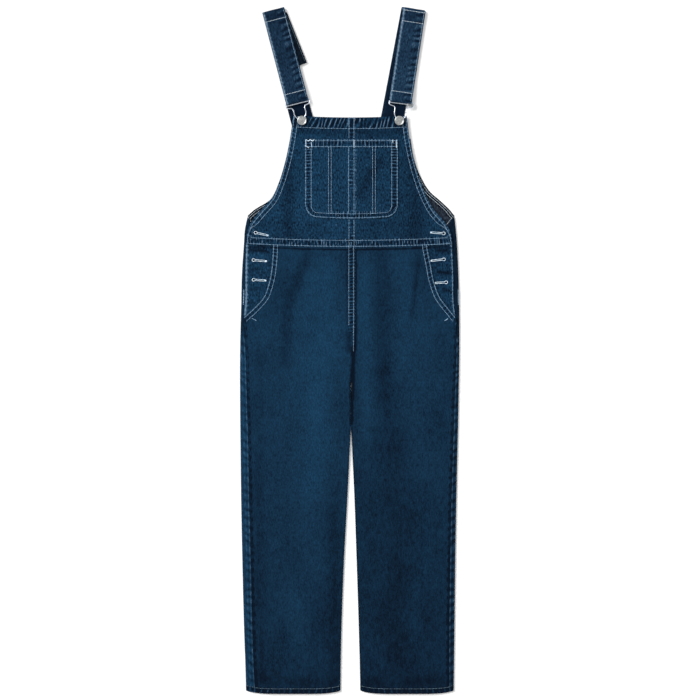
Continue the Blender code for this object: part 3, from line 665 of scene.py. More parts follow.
# %% Stitches
PITCH, STITCH, THREAD = 3.3, 2.8, 0.5
SECTIONS = ((-0.32, 0.8, 0.05), (0.0, 1.0, 0.3), (0.32, 0.8, 0.05))  # place, size and lift
STITCH_SHAPE = [[-0.5, 0.0, -0.55], [0.5, 0.0, -0.55]]
for place, size, lift in SECTIONS:
    STITCH_SHAPE += [[place, size * c, lift + size * 0.9 * s] for c, s in ((1, 0), (0, 1), (-1, 0), (0, -1))]
STITCH_SHAPE = np.array(STITCH_SHAPE)
STITCH_FACES = []
for k in range(4):
    n = (k + 1) % 4
    STITCH_FACES += [[0, 2 + n, 2 + k], [1, 10 + k, 10 + n]]
    for ring in (2, 6):
        STITCH_FACES += [[ring + k, ring + n, ring + 4 + n], [ring + k, ring + 4 + n, ring + 4 + k]]
STITCH_FACES = np.array(STITCH_FACES)
slips = np.random.default_rng(5)
print("a stitch has", len(STITCH_FACES), "triangles")


def stitch_places(row, normal=(0.0, 0.0, 1.0), pitch=PITCH):
    """(middles, directions, normals) of the stitches along a row of points. A middle is a
    fraction along the row, and the direction is the way the row goes there."""
    row = np.asarray(row, float)
    run = lengths(row)
    count = max(1, int(run[-1] / pitch))
    middle = (np.arange(count) + 0.5) * run[-1] / count
    way = read_off(row, run, middle + pitch * 0.4) - read_off(row, run, middle - pitch * 0.4)
    way = way / np.maximum(np.linalg.norm(way, axis=1), 1e-9)[:, None]
    if np.ndim(normal) == 2:
        normal = read_off(normal, run, middle)
    return read_off(row, run, middle), way, np.broadcast_to(normal, way.shape)


def sew(name, places, finish, length=STITCH, width=THREAD):
    """One mesh of stitches: the stitch shape, turned and set at every place."""
    middle, way, up = (np.concatenate(part) for part in zip(*places))
    side = np.cross(up, way)
    side = side / np.linalg.norm(side, axis=1)[:, None]
    up = np.cross(way, side)
    count = len(middle)
    size = slips.uniform(0.92, 1.06, (count, 1, 1))
    middle = middle + side * slips.normal(0, 0.07, (count, 1))
    shape = STITCH_SHAPE[None]
    points = middle[:, None] + way[:, None] * shape[..., :1] * length * size
    points = points + (side[:, None] * shape[..., 1:2] + up[:, None] * shape[..., 2:]) * width
    points = points.reshape(-1, 3)
    faces = STITCH_FACES[None] + len(STITCH_SHAPE) * np.arange(count)[:, None, None]
    return keep(make_piece(name, points, outside_out(points, faces.reshape(-1, 3)), [finish]))


def lifted(face, side, line):
    """A flat line, lifted on to a panel's face."""
    x, y = line.T
    return stacked(x, y, face(side, x, y)[1])


def row_on(face, side, line):
    """A row of sewing on a panel."""
    return stitch_places(lifted(face, side, resampled(line)))


def sew_rows(name, face, side, lines, finish=thread_bright):
    """All the rows of sewing on a panel."""
    return sew(name, [row_on(face, side, line) for line in lines], finish)


# %% [markdown]
# ## The front legs
#
# A front leg is one panel from the hem to the waist. Its outer edge is the outseam, and above
# the hip it is the curved mouth of the pocket. It lies on the back, and near the hip on the
# strip that the back folds over, so its underside climbs there. The same formulas as in the
# solids give that height, and seams, puckers and drag lines are added to the face.

# %% Heights of the front
FOLD, FRONT_LOW, CROWN = 2.3, 3.1, 0.9  # radius of a fold, underside of the front, and its bulge
FELL_EDGE, FELL_WIDTH = 8.6, 14.1  # the centre seam's lap
CENTRE = {"right": FELL_EDGE, "left": FELL_EDGE + GAP}
FOLD_TOP, FRONT_CROTCH, CROTCH, POCKET_FOOT = 632.0, 688.0, 700.0, 829.0
WAIST, BIB_TOP = 983.0, 1268.4
NEAR = np.array([0.0, 0.2, 0.6, 1.2, 2.0, 3.0])  # distances of the columns beside an edge


def waist_bow(x):
    """The waist seam climbs towards the sides."""
    return 6.0 * (x / 220) ** 2


def waist_rise(row, x):
    """How much higher than its number a row of the grid lies near the waist."""
    return (waist_bow(x) - GAP) * smooth((row - 900) / (WAIST - 900))


def side_lift(from_edge, y):
    """Lift of the front where it lies over the back's turned-in side strip."""
    return (CLOTH + GAP) * smooth((y - 788) / 28) * (1 - smooth((from_edge - 10) / 60))


def inner_edge(y, side):
    """Inner edge of a front leg: at the inseam fold, and above the crotch at the felled seam."""
    fold = SIGN[side] * (np.abs(along(SIDES, side + "_inseam", y)) + FOLD + 0.4)
    lap = -0.15 + (FELL_EDGE + 0.15) * smooth((y - 692) / 30) + (GAP if side == "left" else 0)
    return np.where(y <= FRONT_CROTCH, fold, lap)


def outer_edge(y, side):
    """Outer edge of a front leg: the outseam, and above it the curved pocket mouth."""
    outseam = along(SIDES, side + "_seam", y) - SIGN[side] * GAP / 2
    return np.where(y < POCKET_FOOT, outseam, along(MOUTH, side, y))


def hem_rise(row, x, side):
    """The hem curves up towards the leg's two sides."""
    inner, outer = along(SIDES, side + "_inseam", row), along(SIDES, side + "_side", row)
    across = np.clip((x - inner) / (outer - inner), 0, 1)
    return 7.0 * np.abs(2 * across - 1) ** 5 * (1 - smooth(row / 120))


def leg_height(row, x, side):
    """Where a row of the leg's grid lies: the hem and the waist are curved, and rows follow."""
    return row + hem_rise(row, x, side) + waist_rise(row, x)


def leg_low(x, y, side):
    """Underside of a front leg, by the row y of its grid."""
    outer, inner = outer_edge(y, side), inner_edge(y, side)
    from_edge = np.abs(x - outer)
    across = from_edge / np.abs(inner - outer)
    hip = smooth((y - 760) / 60)
    inner_fold = 1 - smooth((y - 640) / 80)
    over_facing = (CLOTH + 0.5) * smooth((y - 800) / 26) * (1 - smooth((from_edge - 26) / 40))
    placket = along(PLACKET, side, y)
    from_side = np.where(y > POCKET_FOOT, np.abs(placket) - np.abs(x), from_edge)
    crown = CROWN * smooth(across / 0.25) * (1 - inner_fold * smooth((across - 0.75) / 0.25))
    fade = smooth(across / 0.12) * (1 - hip) + smooth((from_edge - 15) / 30) * hip
    fade = fade * (1 - inner_fold * smooth((across - 0.88) / 0.12))
    return FRONT_LOW + side_lift(from_side, y) + over_facing + crown + bells(CREASES, x, y) * fade


# %% Seams of the front legs
def leg_seams(side):
    """The seams of a front leg. In the centre the right leg laps over the left one."""
    sign, laps = SIGN[side], side == "right"
    x = np.linspace(inner_edge(np.array(0.0), side), outer_edge(np.array(0.0), side), 60)
    hem = stacked(x, hem_rise(0 * x, x, side))
    outseam = edge_line(SIDES, side + "_seam", 0, POCKET_FOOT) - [sign * GAP / 2, 0]
    mouth = edge_line(MOUTH, side, POCKET_FOOT, WAIST + 6)
    mouth = np.concatenate([[mouth[0] + [sign * 12, -11]], mouth])
    low, high = np.linspace(0, FRONT_CROTCH, 160), np.linspace(CROTCH, WAIST + 2, 70)
    inseam, fell = (stacked(inner_edge(y, side), y) for y in (low, high))
    return {
        "hem": Seam(hem, 11.3, 0.9, 0.5, 13.0, 0.2, 0.1, -0.55),
        "outseam": Seam(outseam, 5.0, 0.6, -0.3, 19.0, 0.2, 0.0, -0.4),
        "mouth": Seam(mouth, 12.0, 0.8, 0.3, 8.0, 0.2, 0.7, -0.2),
        "inseam": Seam(inseam, 0.0, 0.0, 0.0, 9.0, 0.5, 0.0),
        "fell": Seam(fell, FELL_WIDTH * laps, 0.7 * laps, 0.52, 7.2, 0.1, 0.7, -0.4, fade=120),
    }


LEG_SEAMS = {side: leg_seams(side) for side in SIGN}


def leg_face(side, x, y):
    """(underside, face, mark of rubbing and painted shade) of a front leg at points of the
    garment. The grid row through a point is found in three small corrections."""
    row = y
    for _ in range(3):
        row = row + y - leg_height(row, x, side)
    low = leg_low(x, row, side)
    height, worn_and_shaded = relief(LEG_SEAMS[side].values(), x, y)
    return low, low + CLOTH + height + 0.8 * bells(DRAG_LINES, x, y), worn_and_shaded


# %% [markdown]
# The grid of a leg has close columns beside its edges, where the cloth rounds off and the
# puckers are, and wider ones in the middle. Sewing rows then follow the same edges.


# %% Front legs
def columns_between(outer, inner, near_outer, steep, count, near_inner=NEAR, steep_inner=1.0):
    """x of the columns of a panel: close ones in from the outer edge, an even spread, and close
    ones again at the inner edge."""
    way = np.sign(inner - outer)
    first = [outer + way * distance * steep for distance in near_outer]
    last = [inner - way * distance * steep_inner for distance in near_inner[::-1]]
    spread = [first[-1] + (last[0] - first[-1]) * share for share in np.linspace(0, 1, count + 2)[1:-1]]
    return np.concatenate(first + spread + last, axis=1)


def rows_up(step, *above):
    """Rows of a leg's grid from the hem, with those above the hip that far apart."""
    hem, leg = np.arange(4.5, 22, 1.9), np.arange(24, 826, 2.9)
    return np.concatenate([NEAR, hem, leg, [POCKET_FOOT], np.arange(831.5, 979, step), *above])


LEG_ROWS = rows_up(1.8, WAIST - NEAR[::-1])
BESIDE_SEAM = np.concatenate([NEAR, [4.0, 5.2, 6.4, 7.6, 8.8, 10.2, 12.0, 14.0]])

for side, sign in SIGN.items():
    row = LEG_ROWS[:, None]
    steep = 1 + (steepness(MOUTH, side, np.maximum(row, 832)) - 1) * smooth((row - 800) / 29)
    x = columns_between(outer_edge(row, side), inner_edge(row, side), BESIDE_SEAM, steep, 80)
    y = leg_height(row, x, side)
    finishes = [denim_front, denim_inside]
    leg, grid = panel(f"leg_front_{side}", leg_face, side, x, y, shade_and_fade(x, y, side), finishes, f"front_leg_{side}")
    hem, mouth, fell = (LEG_SEAMS[side][k].line for k in ("hem", "mouth", "fell"))
    hips = [beside(mouth[1:], sign * -2.0), beside(mouth[1:], sign * -10.6)]
    if side == "right":
        hips += [beside(fell[fell[:, 1] > 750], -3.2), beside(fell[fell[:, 1] > 808], -13.4)]
    sewing = [sew_rows(f"sewing_leg_{side}", leg_face, side, [hem + [0, 11.3]], thread_worn)]
    sewing.append(sew_rows(f"sewing_hip_{side}", leg_face, side, hips))
    declare(leg, grid, sewing)

# %% [markdown]
# ## The back legs
#
# The back is wider than the front, so each back leg folds round both sides of its leg. Its
# strip beside the outseam faces up, then the cloth turns over in a round fold, runs flat along
# the table and folds up again at the inseam. Above the crotch that inner fold opens out flat and
# meets the other half at the centre-back seam. The section is one line of points for each row.

# %% Back legs
BACK_WAIST, BACK_WAIST_BOW, BACK_TOP = 1004.0, 48.0, 1222.0
BACK_CORNER = BACK_WAIST + BACK_WAIST_BOW
TOP_OF_FOLD = 2 * FOLD
ROOM = 0.25  # the underside's sewing lies in this much room above the table
STRIP_SHARES = np.array([0, 0.012, 0.036, 0.07, 0.12, 0.18, 0.25, 0.34, 0.44, 0.56, 0.7, 0.85])
INNER_TURNS = np.array([0, 10, 20, 32, 45, 60, 75, 90, 105, 120, 135, 150, 159, 168, 174, 178, 180]) / 180
CENTRE_BACK = 0.05  # distance of the centre-back seam's edges from the middle


def back_bow(x, edge):
    """The back's waist seam climbs steeply towards its corners."""
    return (np.abs(x) / edge) ** 6


def back_section(row, side):
    """(distance from the centre, height, climb, side) of a back leg's section for each row:
    the strip, a half circle, the flat back and a circle that opens out above the crotch."""
    climb = BACK_WAIST_BOW * smooth((row - 860) / (BACK_WAIST - 860))
    edge_y = row + climb
    side_x = np.abs(along(SIDES, side + "_side", edge_y))
    under = np.abs(along(PLACKET, side, edge_y)) - 7.0
    seam = np.abs(along(SIDES, side + "_seam", edge_y)) + GAP / 2
    flat_edge = side_x - FOLD
    strip = np.minimum(seam + (under - seam) * smooth((row - 816) / 13), flat_edge - 3.0)
    columns = [(strip + (flat_edge - strip) * share, TOP_OF_FOLD + 0 * row) for share in STRIP_SHARES]
    for turn in np.linspace(0, math.pi, 13):
        columns.append((flat_edge + FOLD * np.sin(turn), FOLD + FOLD * np.cos(turn) + 0 * row))
    whole = 1 - smooth((row - FOLD_TOP) / (CROTCH - FOLD_TOP))
    inner = np.abs(along(SIDES, side + "_inseam", row))
    hem = np.abs(along(BACK_ARMHOLE, side, BACK_CORNER)) - 11.0 * steepness(BACK_ARMHOLE, side, BACK_CORNER)
    last = (hem - STEP) * 0.19
    turned = math.pi * whole
    fold_x = whole * inner + (1 - whole) * CENTRE_BACK + FOLD * np.sin(np.minimum(turned, math.pi / 2))
    tangent = whole * (inner + FOLD) + (1 - whole) * last
    for share in np.linspace(0, 1, 34)[1:-1]:
        columns.append((flat_edge + (tangent - flat_edge) * share, 0 * row))
    for share in INNER_TURNS:
        back = (1 - share) * (whole * FOLD * turned + (1 - whole) * (last - CENTRE_BACK))
        turn = np.maximum(turned - back / FOLD, 0)
        beyond = np.maximum(back - FOLD * turned, 0)
        columns.append((fold_x - FOLD * np.sin(turn) + beyond, FOLD - FOLD * np.cos(turn)))
    x, z = (np.concatenate([column[k] for column in columns], axis=1) for k in (0, 1))
    return x, z, climb, flat_edge, side_x


def outward(points, sign):
    """The unit normals of a grid of points: across its columns, then up its rows."""
    normal = np.cross(np.gradient(points, axis=1), np.gradient(points, axis=0)) * sign
    return normal / np.linalg.norm(normal, axis=2)[..., None]


BACK_ROWS = rows_up(2.9, np.arange(981, 1000, 2.9), BACK_WAIST - NEAR[::-1])
STRIP_ROPES = Seam(None, 11.0, 0.0, -0.26, 19.0, -0.6, 0.6, -0.25)
STRIP_SHADES = {"right": (0.1, -0.12), "left": (-0.08, -0.2)}  # below and above the hip
HEM_ROPES = Seam(None, 11.3, 0.2, 0.4, 12.0, 0.2, 0.15, -0.45)


def back_leg(side):
    """(piece, face grid, normals) of a back leg. The strip ropes up to the hip and the hem all
    round, and the two faces lie one thickness apart along the section's normals."""
    sign, row = SIGN[side], BACK_ROWS[:, None]
    x, z, climb, flat_edge, side_x = back_section(row, side)
    y = row + hem_rise(row, sign * x, side) + climb * back_bow(np.minimum(x, flat_edge), side_x)
    y = y - GAP * smooth((row - 990) / 14)
    base = stacked(sign * x, y, z + ROOM * (1 - z / TOP_OF_FOLD))
    normal = outward(base, sign)
    steps = np.linalg.norm(np.diff(base, axis=1), axis=2)
    run = np.concatenate([0 * row, np.cumsum(steps, axis=1)], axis=1)
    rows = row + 0 * run
    strip, strip_worn = band(STRIP_ROPES, run, rows)
    hem, hem_worn = band(HEM_ROPES, rows, run)
    from_rim = np.minimum.reduce([run, run[:, -1:] - run, rows, BACK_WAIST - rows])
    up, below_hip = smooth(normal[..., 2] * 2), 1 - smooth((row - 775) / 25)
    rise = up * (strip * below_hip + hem) - (1 - up) * 0.12 * np.abs(hem) - rounding(from_rim, EDGE)
    grid = base + normal * rise[..., None]
    worn_and_shaded = up * (strip_worn * below_hip + hem_worn) + (1 - up) * 0.3 * hem_worn
    low, high = STRIP_SHADES[side]
    strip_shade = 0.7 * shade_and_fade(sign * x, y, side) + low + (high - low) * smooth((row - 740) / 80)
    shade = np.where(up > 0, strip_shade, 0.7 * bells(BACK_FADES, sign * x, y) - 0.06)
    uv = stacked(sign * (300 - run), y)
    leg = wall(f"leg_back_{side}", grid, base - normal * CLOTH, uv, worn_and_shaded, shade, [denim_front, denim_inside])
    return keep(leg, f"back_leg_{side}"), grid, normal


def under_row(line):
    """A row of sewing on the underside, let into the room above the table."""
    line = resampled(np.asarray(line, float), 3.0)
    return stitch_places(stacked(line[:, 0], line[:, 1], ROOM + 0.25), (0.0, 0.0, -1.0))


for side, sign in SIGN.items():
    leg, grid, normal = back_leg(side)
    fold = len(STRIP_SHARES) + 1
    hem_row = int(np.searchsorted(BACK_ROWS, 11.3))
    rows = [stitch_places(grid[hem_row, :fold], normal[hem_row, :fold])]
    rows.append(under_row(grid[hem_row, fold + 12 : -len(INNER_TURNS), :2]))
    x = np.linspace(8, 205, 60)
    top = stacked(sign * x, BACK_WAIST + BACK_WAIST_BOW * back_bow(x, 226.0))
    rows += [under_row(top - [0, 2.5]), under_row(top - [0, 9.0])]
    if side == "right":
        rows += [under_row([(k, 708.0), (k, 995.0)]) for k in (-2.2, -9.0)]
    declare(leg, grid, [sew(f"sewing_back_{side}", rows, thread_worn)])

# %% [markdown]
# ## The hip facings
#
# Inside the curved pocket mouth shows a facing with the edge of the side opening. It is a small
# flat panel under the leg's edge. Its free edge is turned in and puckers crosswise.

# %% Hip facings
FACING_SEAMS = {
    side: Seam(edge_line(PLACKET, side, 822, 990), 6.0, 0.25, 0.35, 9.5, 0.05, pale, -0.15)
    for side, pale in (("right", 1.0), ("left", 0.45))
}
FACING_ROWS = np.concatenate([POCKET_FOOT + 4 + NEAR, np.arange(837.5, 979, 2.4), WAIST - NEAR[::-1]])


def facing_face(side, x, y):
    """(underside, face, mark of rubbing and painted shade) of a hip facing."""
    row = y - waist_rise(y, x)
    low = FRONT_LOW + side_lift(np.abs(x - along(PLACKET, side, row)), row)
    height, worn_and_shaded = relief([FACING_SEAMS[side]], x, y)
    return low, low + CLOTH + height, worn_and_shaded


for side, sign in SIGN.items():
    row = FACING_ROWS[:, None]
    mouth = along(MOUTH, side, row) - sign * 15.0 * steepness(MOUTH, side, row)
    x = columns_between(along(PLACKET, side, row), mouth, NEAR, 1.0, 24)
    y = row + waist_rise(row, x)
    shade = shade_and_fade(x, y, side) + 0.02 + bells(FACING_SHADES_AND_FADES, x, y)
    finishes = [denim_bib, denim_inside]
    facing, grid = panel(f"hip_front_{side}", facing_face, side, x, y, shade, finishes, f"hip_facing_{side}")
    line = edge_line(PLACKET, side, 836, 978)
    rows = [row_on(facing_face, side, line - [sign * 2.2, 0])]
    for aside in (0.0, 1.0):
        low, high = (sign * (237.3 - aside), 856.0), (sign * (236.4 - aside), 890.0)
        rows.append(stitch_places([(*low, TOP_OF_FOLD + 0.2), (*high, TOP_OF_FOLD + 0.2)]))
    declare(facing, grid, [sew(f"sewing_placket_{side}", rows, thread_bright)])

# %% [markdown]
# ## The bib
#
# The bib's two halves meet in the centre seam and lap over the legs at the waist. It has the
# strongest roping of all along its top hem. Under the bib pocket the centre seam is pressed flat.

# %% Bib
POCKET_EDGE = {"right": -101.5, "left": 103.5}
POCKET_TOP, POCKET_BOTTOM, POCKET_CORNER = 1220.5, 1050.5, 26.0
WAIST_SPAN = {"right": (-240, CENTRE["right"]), "left": (CENTRE["left"], 232)}
BUTTONS = {"right": (-107.8, 1261.3), "left": (106.3, 1261.0)}
BIB_RISE = np.concatenate([NEAR, np.arange(4.4, 280, 2.1), BIB_TOP - WAIST - NEAR[::-1]])


def top_bow(x):
    """The top of the bib climbs towards its corners."""
    return 3.5 * (x / 120) ** 2


def bib_low(x, y):
    """Underside of the bib: over the back's side strips below, over the strap ends above."""
    from_edge = np.where(x < 0, -along(ARMHOLE, "right", y), along(ARMHOLE, "left", y)) - np.abs(x)
    over_strip = side_lift(from_edge, y) * (1 - smooth((y - 1030) / 40))
    over_facing = CROWN * (1 - smooth((from_edge - 60) / 20)) * (1 - smooth((y - 985) / 50))
    over_straps = 1.6 * smooth((y - 1050) / 110)
    crown = CROWN * smooth(from_edge / 50) * (1 - smooth((y - 1060) / 100))
    fade = smooth(from_edge / 15) * (1 - smooth((y - 1150) / 60))
    lifts = over_strip + over_facing + over_straps + crown
    return FRONT_LOW + lifts + bells(CREASES, x, y) * fade


def bib_seams(side):
    """The seams of half a bib. In the centre the right half laps over the left one."""
    x, laps = np.linspace(*WAIST_SPAN[side], 90), side == "right"
    waist, top = stacked(x, WAIST + waist_bow(x)), stacked(x, BIB_TOP + top_bow(x))
    armhole = edge_line(ARMHOLE, side, WAIST, BIB_TOP + 3)
    middle = stacked(CENTRE[side], np.array([WAIST, 1100.0, BIB_TOP + 1]))
    return {
        "waist": Seam(waist, 16.5, 0.9, 0.6, 6.4, 0.15, 0.6, -0.14),
        "armhole": Seam(armhole, 11.0, 0.8, 0.32, 8.6, 0.3, 0.6, -0.15),
        "top": Seam(top, 25.5, 1.0, 0.66, 9.4, 0.3, 0.25, -0.3),
        "fell": Seam(middle, FELL_WIDTH * laps, 0.7 * laps, 0.45, 7.4, 0.1, 0.55, -0.25),
    }


BIB_SEAMS = {side: bib_seams(side) for side in SIGN}


def bib_face(side, x, y):
    """(underside, face, mark of rubbing and painted shade) of the bib. Under and around a button the cloth is
    smooth, and painted darker as the button's shadow.
    """
    low = bib_low(x, y)
    under_pocket = smooth((105.0 - np.abs(x - 1)) / 3) * smooth((y - 1044) / 5) * smooth((1224 - y) / 3)
    height, worn_and_shaded = relief(BIB_SEAMS[side].values(), x, y)
    height = np.where(under_pocket > 0, np.minimum(height, 1.2 - 1.1 * under_pocket), height)
    place = BUTTONS[side]
    # A painted shadow round the button: the cloth there is darkened.
    button = np.exp(-((x - place[0]) ** 2 + (y - place[1]) ** 2) / 15.0**2)
    height = height - button * np.maximum(height - 1.0, 0) * 0.8
    worn_and_shaded = worn_and_shaded - button * (worn_and_shaded + 0.8)
    return low, low + CLOTH + height + 0.8 * bells(DRAG_LINES, x, y) * (1 - 0.5 * under_pocket), worn_and_shaded


for side, sign in SIGN.items():
    row = WAIST + BIB_RISE[:, None]
    inner = np.full_like(row, CENTRE[side])
    x = columns_between(along(ARMHOLE, side, row), inner, BESIDE_SEAM, steepness(ARMHOLE, side, row), 84)
    up = (row - WAIST) / (BIB_TOP - WAIST)
    y = row + waist_bow(x) * (1 - up) + top_bow(x) * up
    finishes = [denim_bib, denim_inside]
    half, grid = panel(f"bib_front_{side}", bib_face, side, x, y, shade_and_fade(x, y, side), finishes, f"bib_{side}")
    waist, armhole, top = (BIB_SEAMS[side][k].line for k in ("waist", "armhole", "top"))
    inside = 226 if side == "right" else 217
    low_row, high_row = (waist[np.abs(waist[:, 0]) < reach] for reach in (inside, inside - 5))
    inner = armhole[armhole[:, 1] > 1021]
    inset = 1.9 + 8.4 * smooth((inner[:, 1:] - 1019) / 26)
    lines = [low_row + [0, 1.9], high_row + [0, 15.0], beside(armhole, sign * -1.9)]
    lines += [beside(inner, -sign * inset), top[np.abs(top[:, 0]) < 122] - [0, 24.6]]
    if side == "right":
        for step_in in (2.0, 13.0):
            for span in ((WAIST + 1, POCKET_BOTTOM - 7), (POCKET_TOP + 2, BIB_TOP - 1)):
                lines.append(stacked(FELL_EDGE - step_in, np.array(span)))
    declare(half, grid, [sew_rows(f"sewing_bib_{side}", bib_face, side, lines)])

# %% [markdown]
# ## The bib pocket
#
# The pocket is sewn on in two halves, with rounded lower corners, a wide hem at its mouth and a
# raised tuck down each half. Its cloth stands a little off the bib between its seams.

# %% Bib pocket
TUCKS = {"right": -46.5, "left": 50.5}
POCKET_JOINT = {"right": 11.5, "left": 11.8}
POCKET_TALL = POCKET_TOP - POCKET_BOTTOM
CORNER_RISE = POCKET_CORNER * (1 - np.cos(np.linspace(0, math.pi / 2, 14)))
POCKET_RISE = [CORNER_RISE[:1], [0.2, 0.5], CORNER_RISE[2:], np.arange(28, 166, 2.1), POCKET_TALL - NEAR[::-1]]


def pocket_bow(x, rise):
    """The bottom edge sags a little towards the middle."""
    return -5.0 * (1 - (x / 103.5) ** 2) * (1 - smooth(rise / 70))


def pocket_outer(side, rise):
    """x of the pocket's side edge with its round corner, at a height above the bottom."""
    below = np.clip(POCKET_CORNER - rise, 0, POCKET_CORNER)
    return POCKET_EDGE[side] - SIGN[side] * (POCKET_CORNER - np.sqrt(POCKET_CORNER**2 - below**2))


def pocket_line(side, inset, foot, top=0.0):
    """A line inside the pocket's outline: down its side, round the corner and along the bottom."""
    turns = np.linspace(0, math.pi / 2, 16)
    radius = POCKET_CORNER - inset
    sign = SIGN[side]
    middle = POCKET_EDGE[side] - sign * POCKET_CORNER
    x = np.concatenate([[middle + sign * radius], middle + sign * radius * np.cos(turns), [POCKET_JOINT[side]]])
    down = (POCKET_CORNER - foot) * np.sin(turns)
    rise = np.concatenate([[POCKET_TALL - top], POCKET_CORNER - down, [foot]])
    x, rise = resampled(stacked(x, rise), 3.0).T
    return stacked(x, POCKET_BOTTOM + rise + pocket_bow(x, rise))


def pocket_seams(side):
    """The seams of half a pocket, and its tuck."""
    tuck, joint, laps = TUCKS[side], POCKET_JOINT[side], side == "right"
    mouth = np.array([(POCKET_EDGE[side], POCKET_TOP), (joint, POCKET_TOP)])
    centre = np.array([(joint, POCKET_TOP), (joint, POCKET_BOTTOM - 6)])
    middle = np.array([(tuck, POCKET_TOP), (tuck, POCKET_BOTTOM)])
    return {
        "side": Seam(pocket_line(side, 0.0, 0.0), 15.0, 0.25, 0.6, 6.8, 0.05, 0.8, -0.3),
        "mouth": Seam(mouth, 17.5, 0.85, 0.6, 7.0, 0.05, 0.8, -0.25),
        "centre": Seam(centre, 18.0 * laps, 0.7 * laps, 0.35, 7.4, 0.1, 0.4),
        "tuck": Seam(middle, 3.6, 0.6, 0.1, 9.0, 0.0, 0.0, -0.2),
    }


POCKET_SEAMS = {side: pocket_seams(side) for side in SIGN}


def pocket_face(side, x, y):
    """(underside, face, mark of rubbing and painted shade) of the bib pocket."""
    rise = y - POCKET_BOTTOM
    for _ in range(3):
        rise = y - POCKET_BOTTOM - pocket_bow(x, rise)
    from_side = np.minimum(np.abs(x - pocket_outer(side, rise)), 15) / 15
    low = bib_low(x, y) + CLOTH + 0.45 + 0.7 * smooth(from_side) * smooth(rise / 20)
    *edges, middle = POCKET_SEAMS[side].values()
    height, worn_and_shaded = relief(edges, x, y)
    tuck, tuck_worn = band(middle, *nearest(middle.line, x, y))
    return low, low + 1.2 + np.maximum(height, tuck), stronger(worn_and_shaded, tuck_worn)


for side, sign in SIGN.items():
    rise = np.concatenate(POCKET_RISE)[:, None]
    x = columns_between(pocket_outer(side, rise), np.full_like(rise, POCKET_JOINT[side]), NEAR, 1.0, 50)
    y = POCKET_BOTTOM + rise + pocket_bow(x, rise)
    finishes = [denim_bib, denim_inside]
    half, grid = panel(f"pocket_{side}", pocket_face, side, x, y, shade_and_fade(x, y, side), finishes, f"bib_pocket_{side}")
    top_x = np.array([POCKET_EDGE[side] - sign * 2, POCKET_JOINT[side]])
    lines = [stacked(top_x, POCKET_TOP - down) for down in (3.6, 16.6)]
    lines += [pocket_line(side, 2.0, 2.0, 2.0), pocket_line(side, 14.0, 10.5, 2.0)]
    twin_rows = [TUCKS[side] - 3.0, TUCKS[side] + 3.0] + [-5.4, 6.6] * (side == "right")
    lines += [stacked(place, np.array([POCKET_TOP - 17.5, POCKET_BOTTOM + 5])) for place in twin_rows]
    declare(half, grid, [sew_rows(f"sewing_pocket_{side}", pocket_face, side, lines)])

# %% [markdown]
# ## The back panel
#
# Above the waist the back is one panel that lies flat on the table. Its inside shows at the
# armholes: the wrong side of denim is grey, because the white weft is on top there.

# %% Back panel
BACK_EDGES = [edge_line(BACK_ARMHOLE, side, BACK_CORNER, BACK_TOP + 2) for side in SIGN]
BACK_SEAMS = [Seam(line, 11.0, 0.8, 0.4, 8.6, 0.4, 0.15, -0.55) for line in BACK_EDGES]
CORNER_ROWS = [(-226.0, 1049.0), (-219.6, 1038.6)], [(222.5, 1048.0), (209.5, 1031.5)]


def back_face(side, x, y):
    """(underside, face, mark of rubbing and painted shade) of the back's inside. Its hems are flat under the
    straps.
    """
    height, worn_and_shaded = relief(BACK_SEAMS, x, y)
    under_strap = smooth((y - 1138) / 30)
    return ROOM + 0 * x, CLOTH + np.where(height > 0, height * (1 - under_strap), height), worn_and_shaded


up = np.concatenate([[0, 0.001, 0.004, 0.01], np.linspace(0.02, 0.985, 76), [0.993, 0.997, 0.999, 1.0]])[:, None]
edge_y = BACK_CORNER + up * (BACK_TOP - BACK_CORNER)
x_right, x_left = (along(BACK_ARMHOLE, side, edge_y) for side in SIGN)
steep_right, steep_left = (steepness(BACK_ARMHOLE, side, edge_y) for side in SIGN)
x = columns_between(x_right, x_left, BESIDE_SEAM, steep_right, 70, BESIDE_SEAM, steep_left)
corner = np.where(x[:1] < 0, -x[0, 0], x[0, -1])
bottom = BACK_WAIST + BACK_WAIST_BOW * back_bow(x[:1], corner)
y = bottom + up * (BACK_TOP - bottom)
shade = np.where(x < 0, -0.26, -0.02) + 0.05 * bells(DRAG_LINES, x, y)
finishes = [denim_inside, denim_back]
back_panel, grid = panel("back_panel", back_face, None, x, y, shade, finishes, "back_bib")
rows = []
for line, sign in zip(BACK_EDGES, SIGN.values()):
    rows += [row_on(back_face, None, beside(line, -sign * step_in)) for step_in in (3.6, 8.4)]
rows += [stitch_places([(*high, 4.9), (*low, 2.2)]) for high, low in CORNER_ROWS]
rows.append(under_row([(-120, BACK_TOP - 8), (120, BACK_TOP - 8)]))
rows.append(under_row([(0, 1010), (0, 1210)]))
declare(back_panel, grid, [sew("sewing_back_panel", rows, thread_white)])

# %% [markdown]
# ## Straps
#
# A strap is a flat tube of denim. It is sewn to the back, comes up to a fold at the top of the
# photograph, lies down the front and turns in round the clip's bar. It is made as a profile,
# the strap's width, that is carried along that path. One long edge ropes.

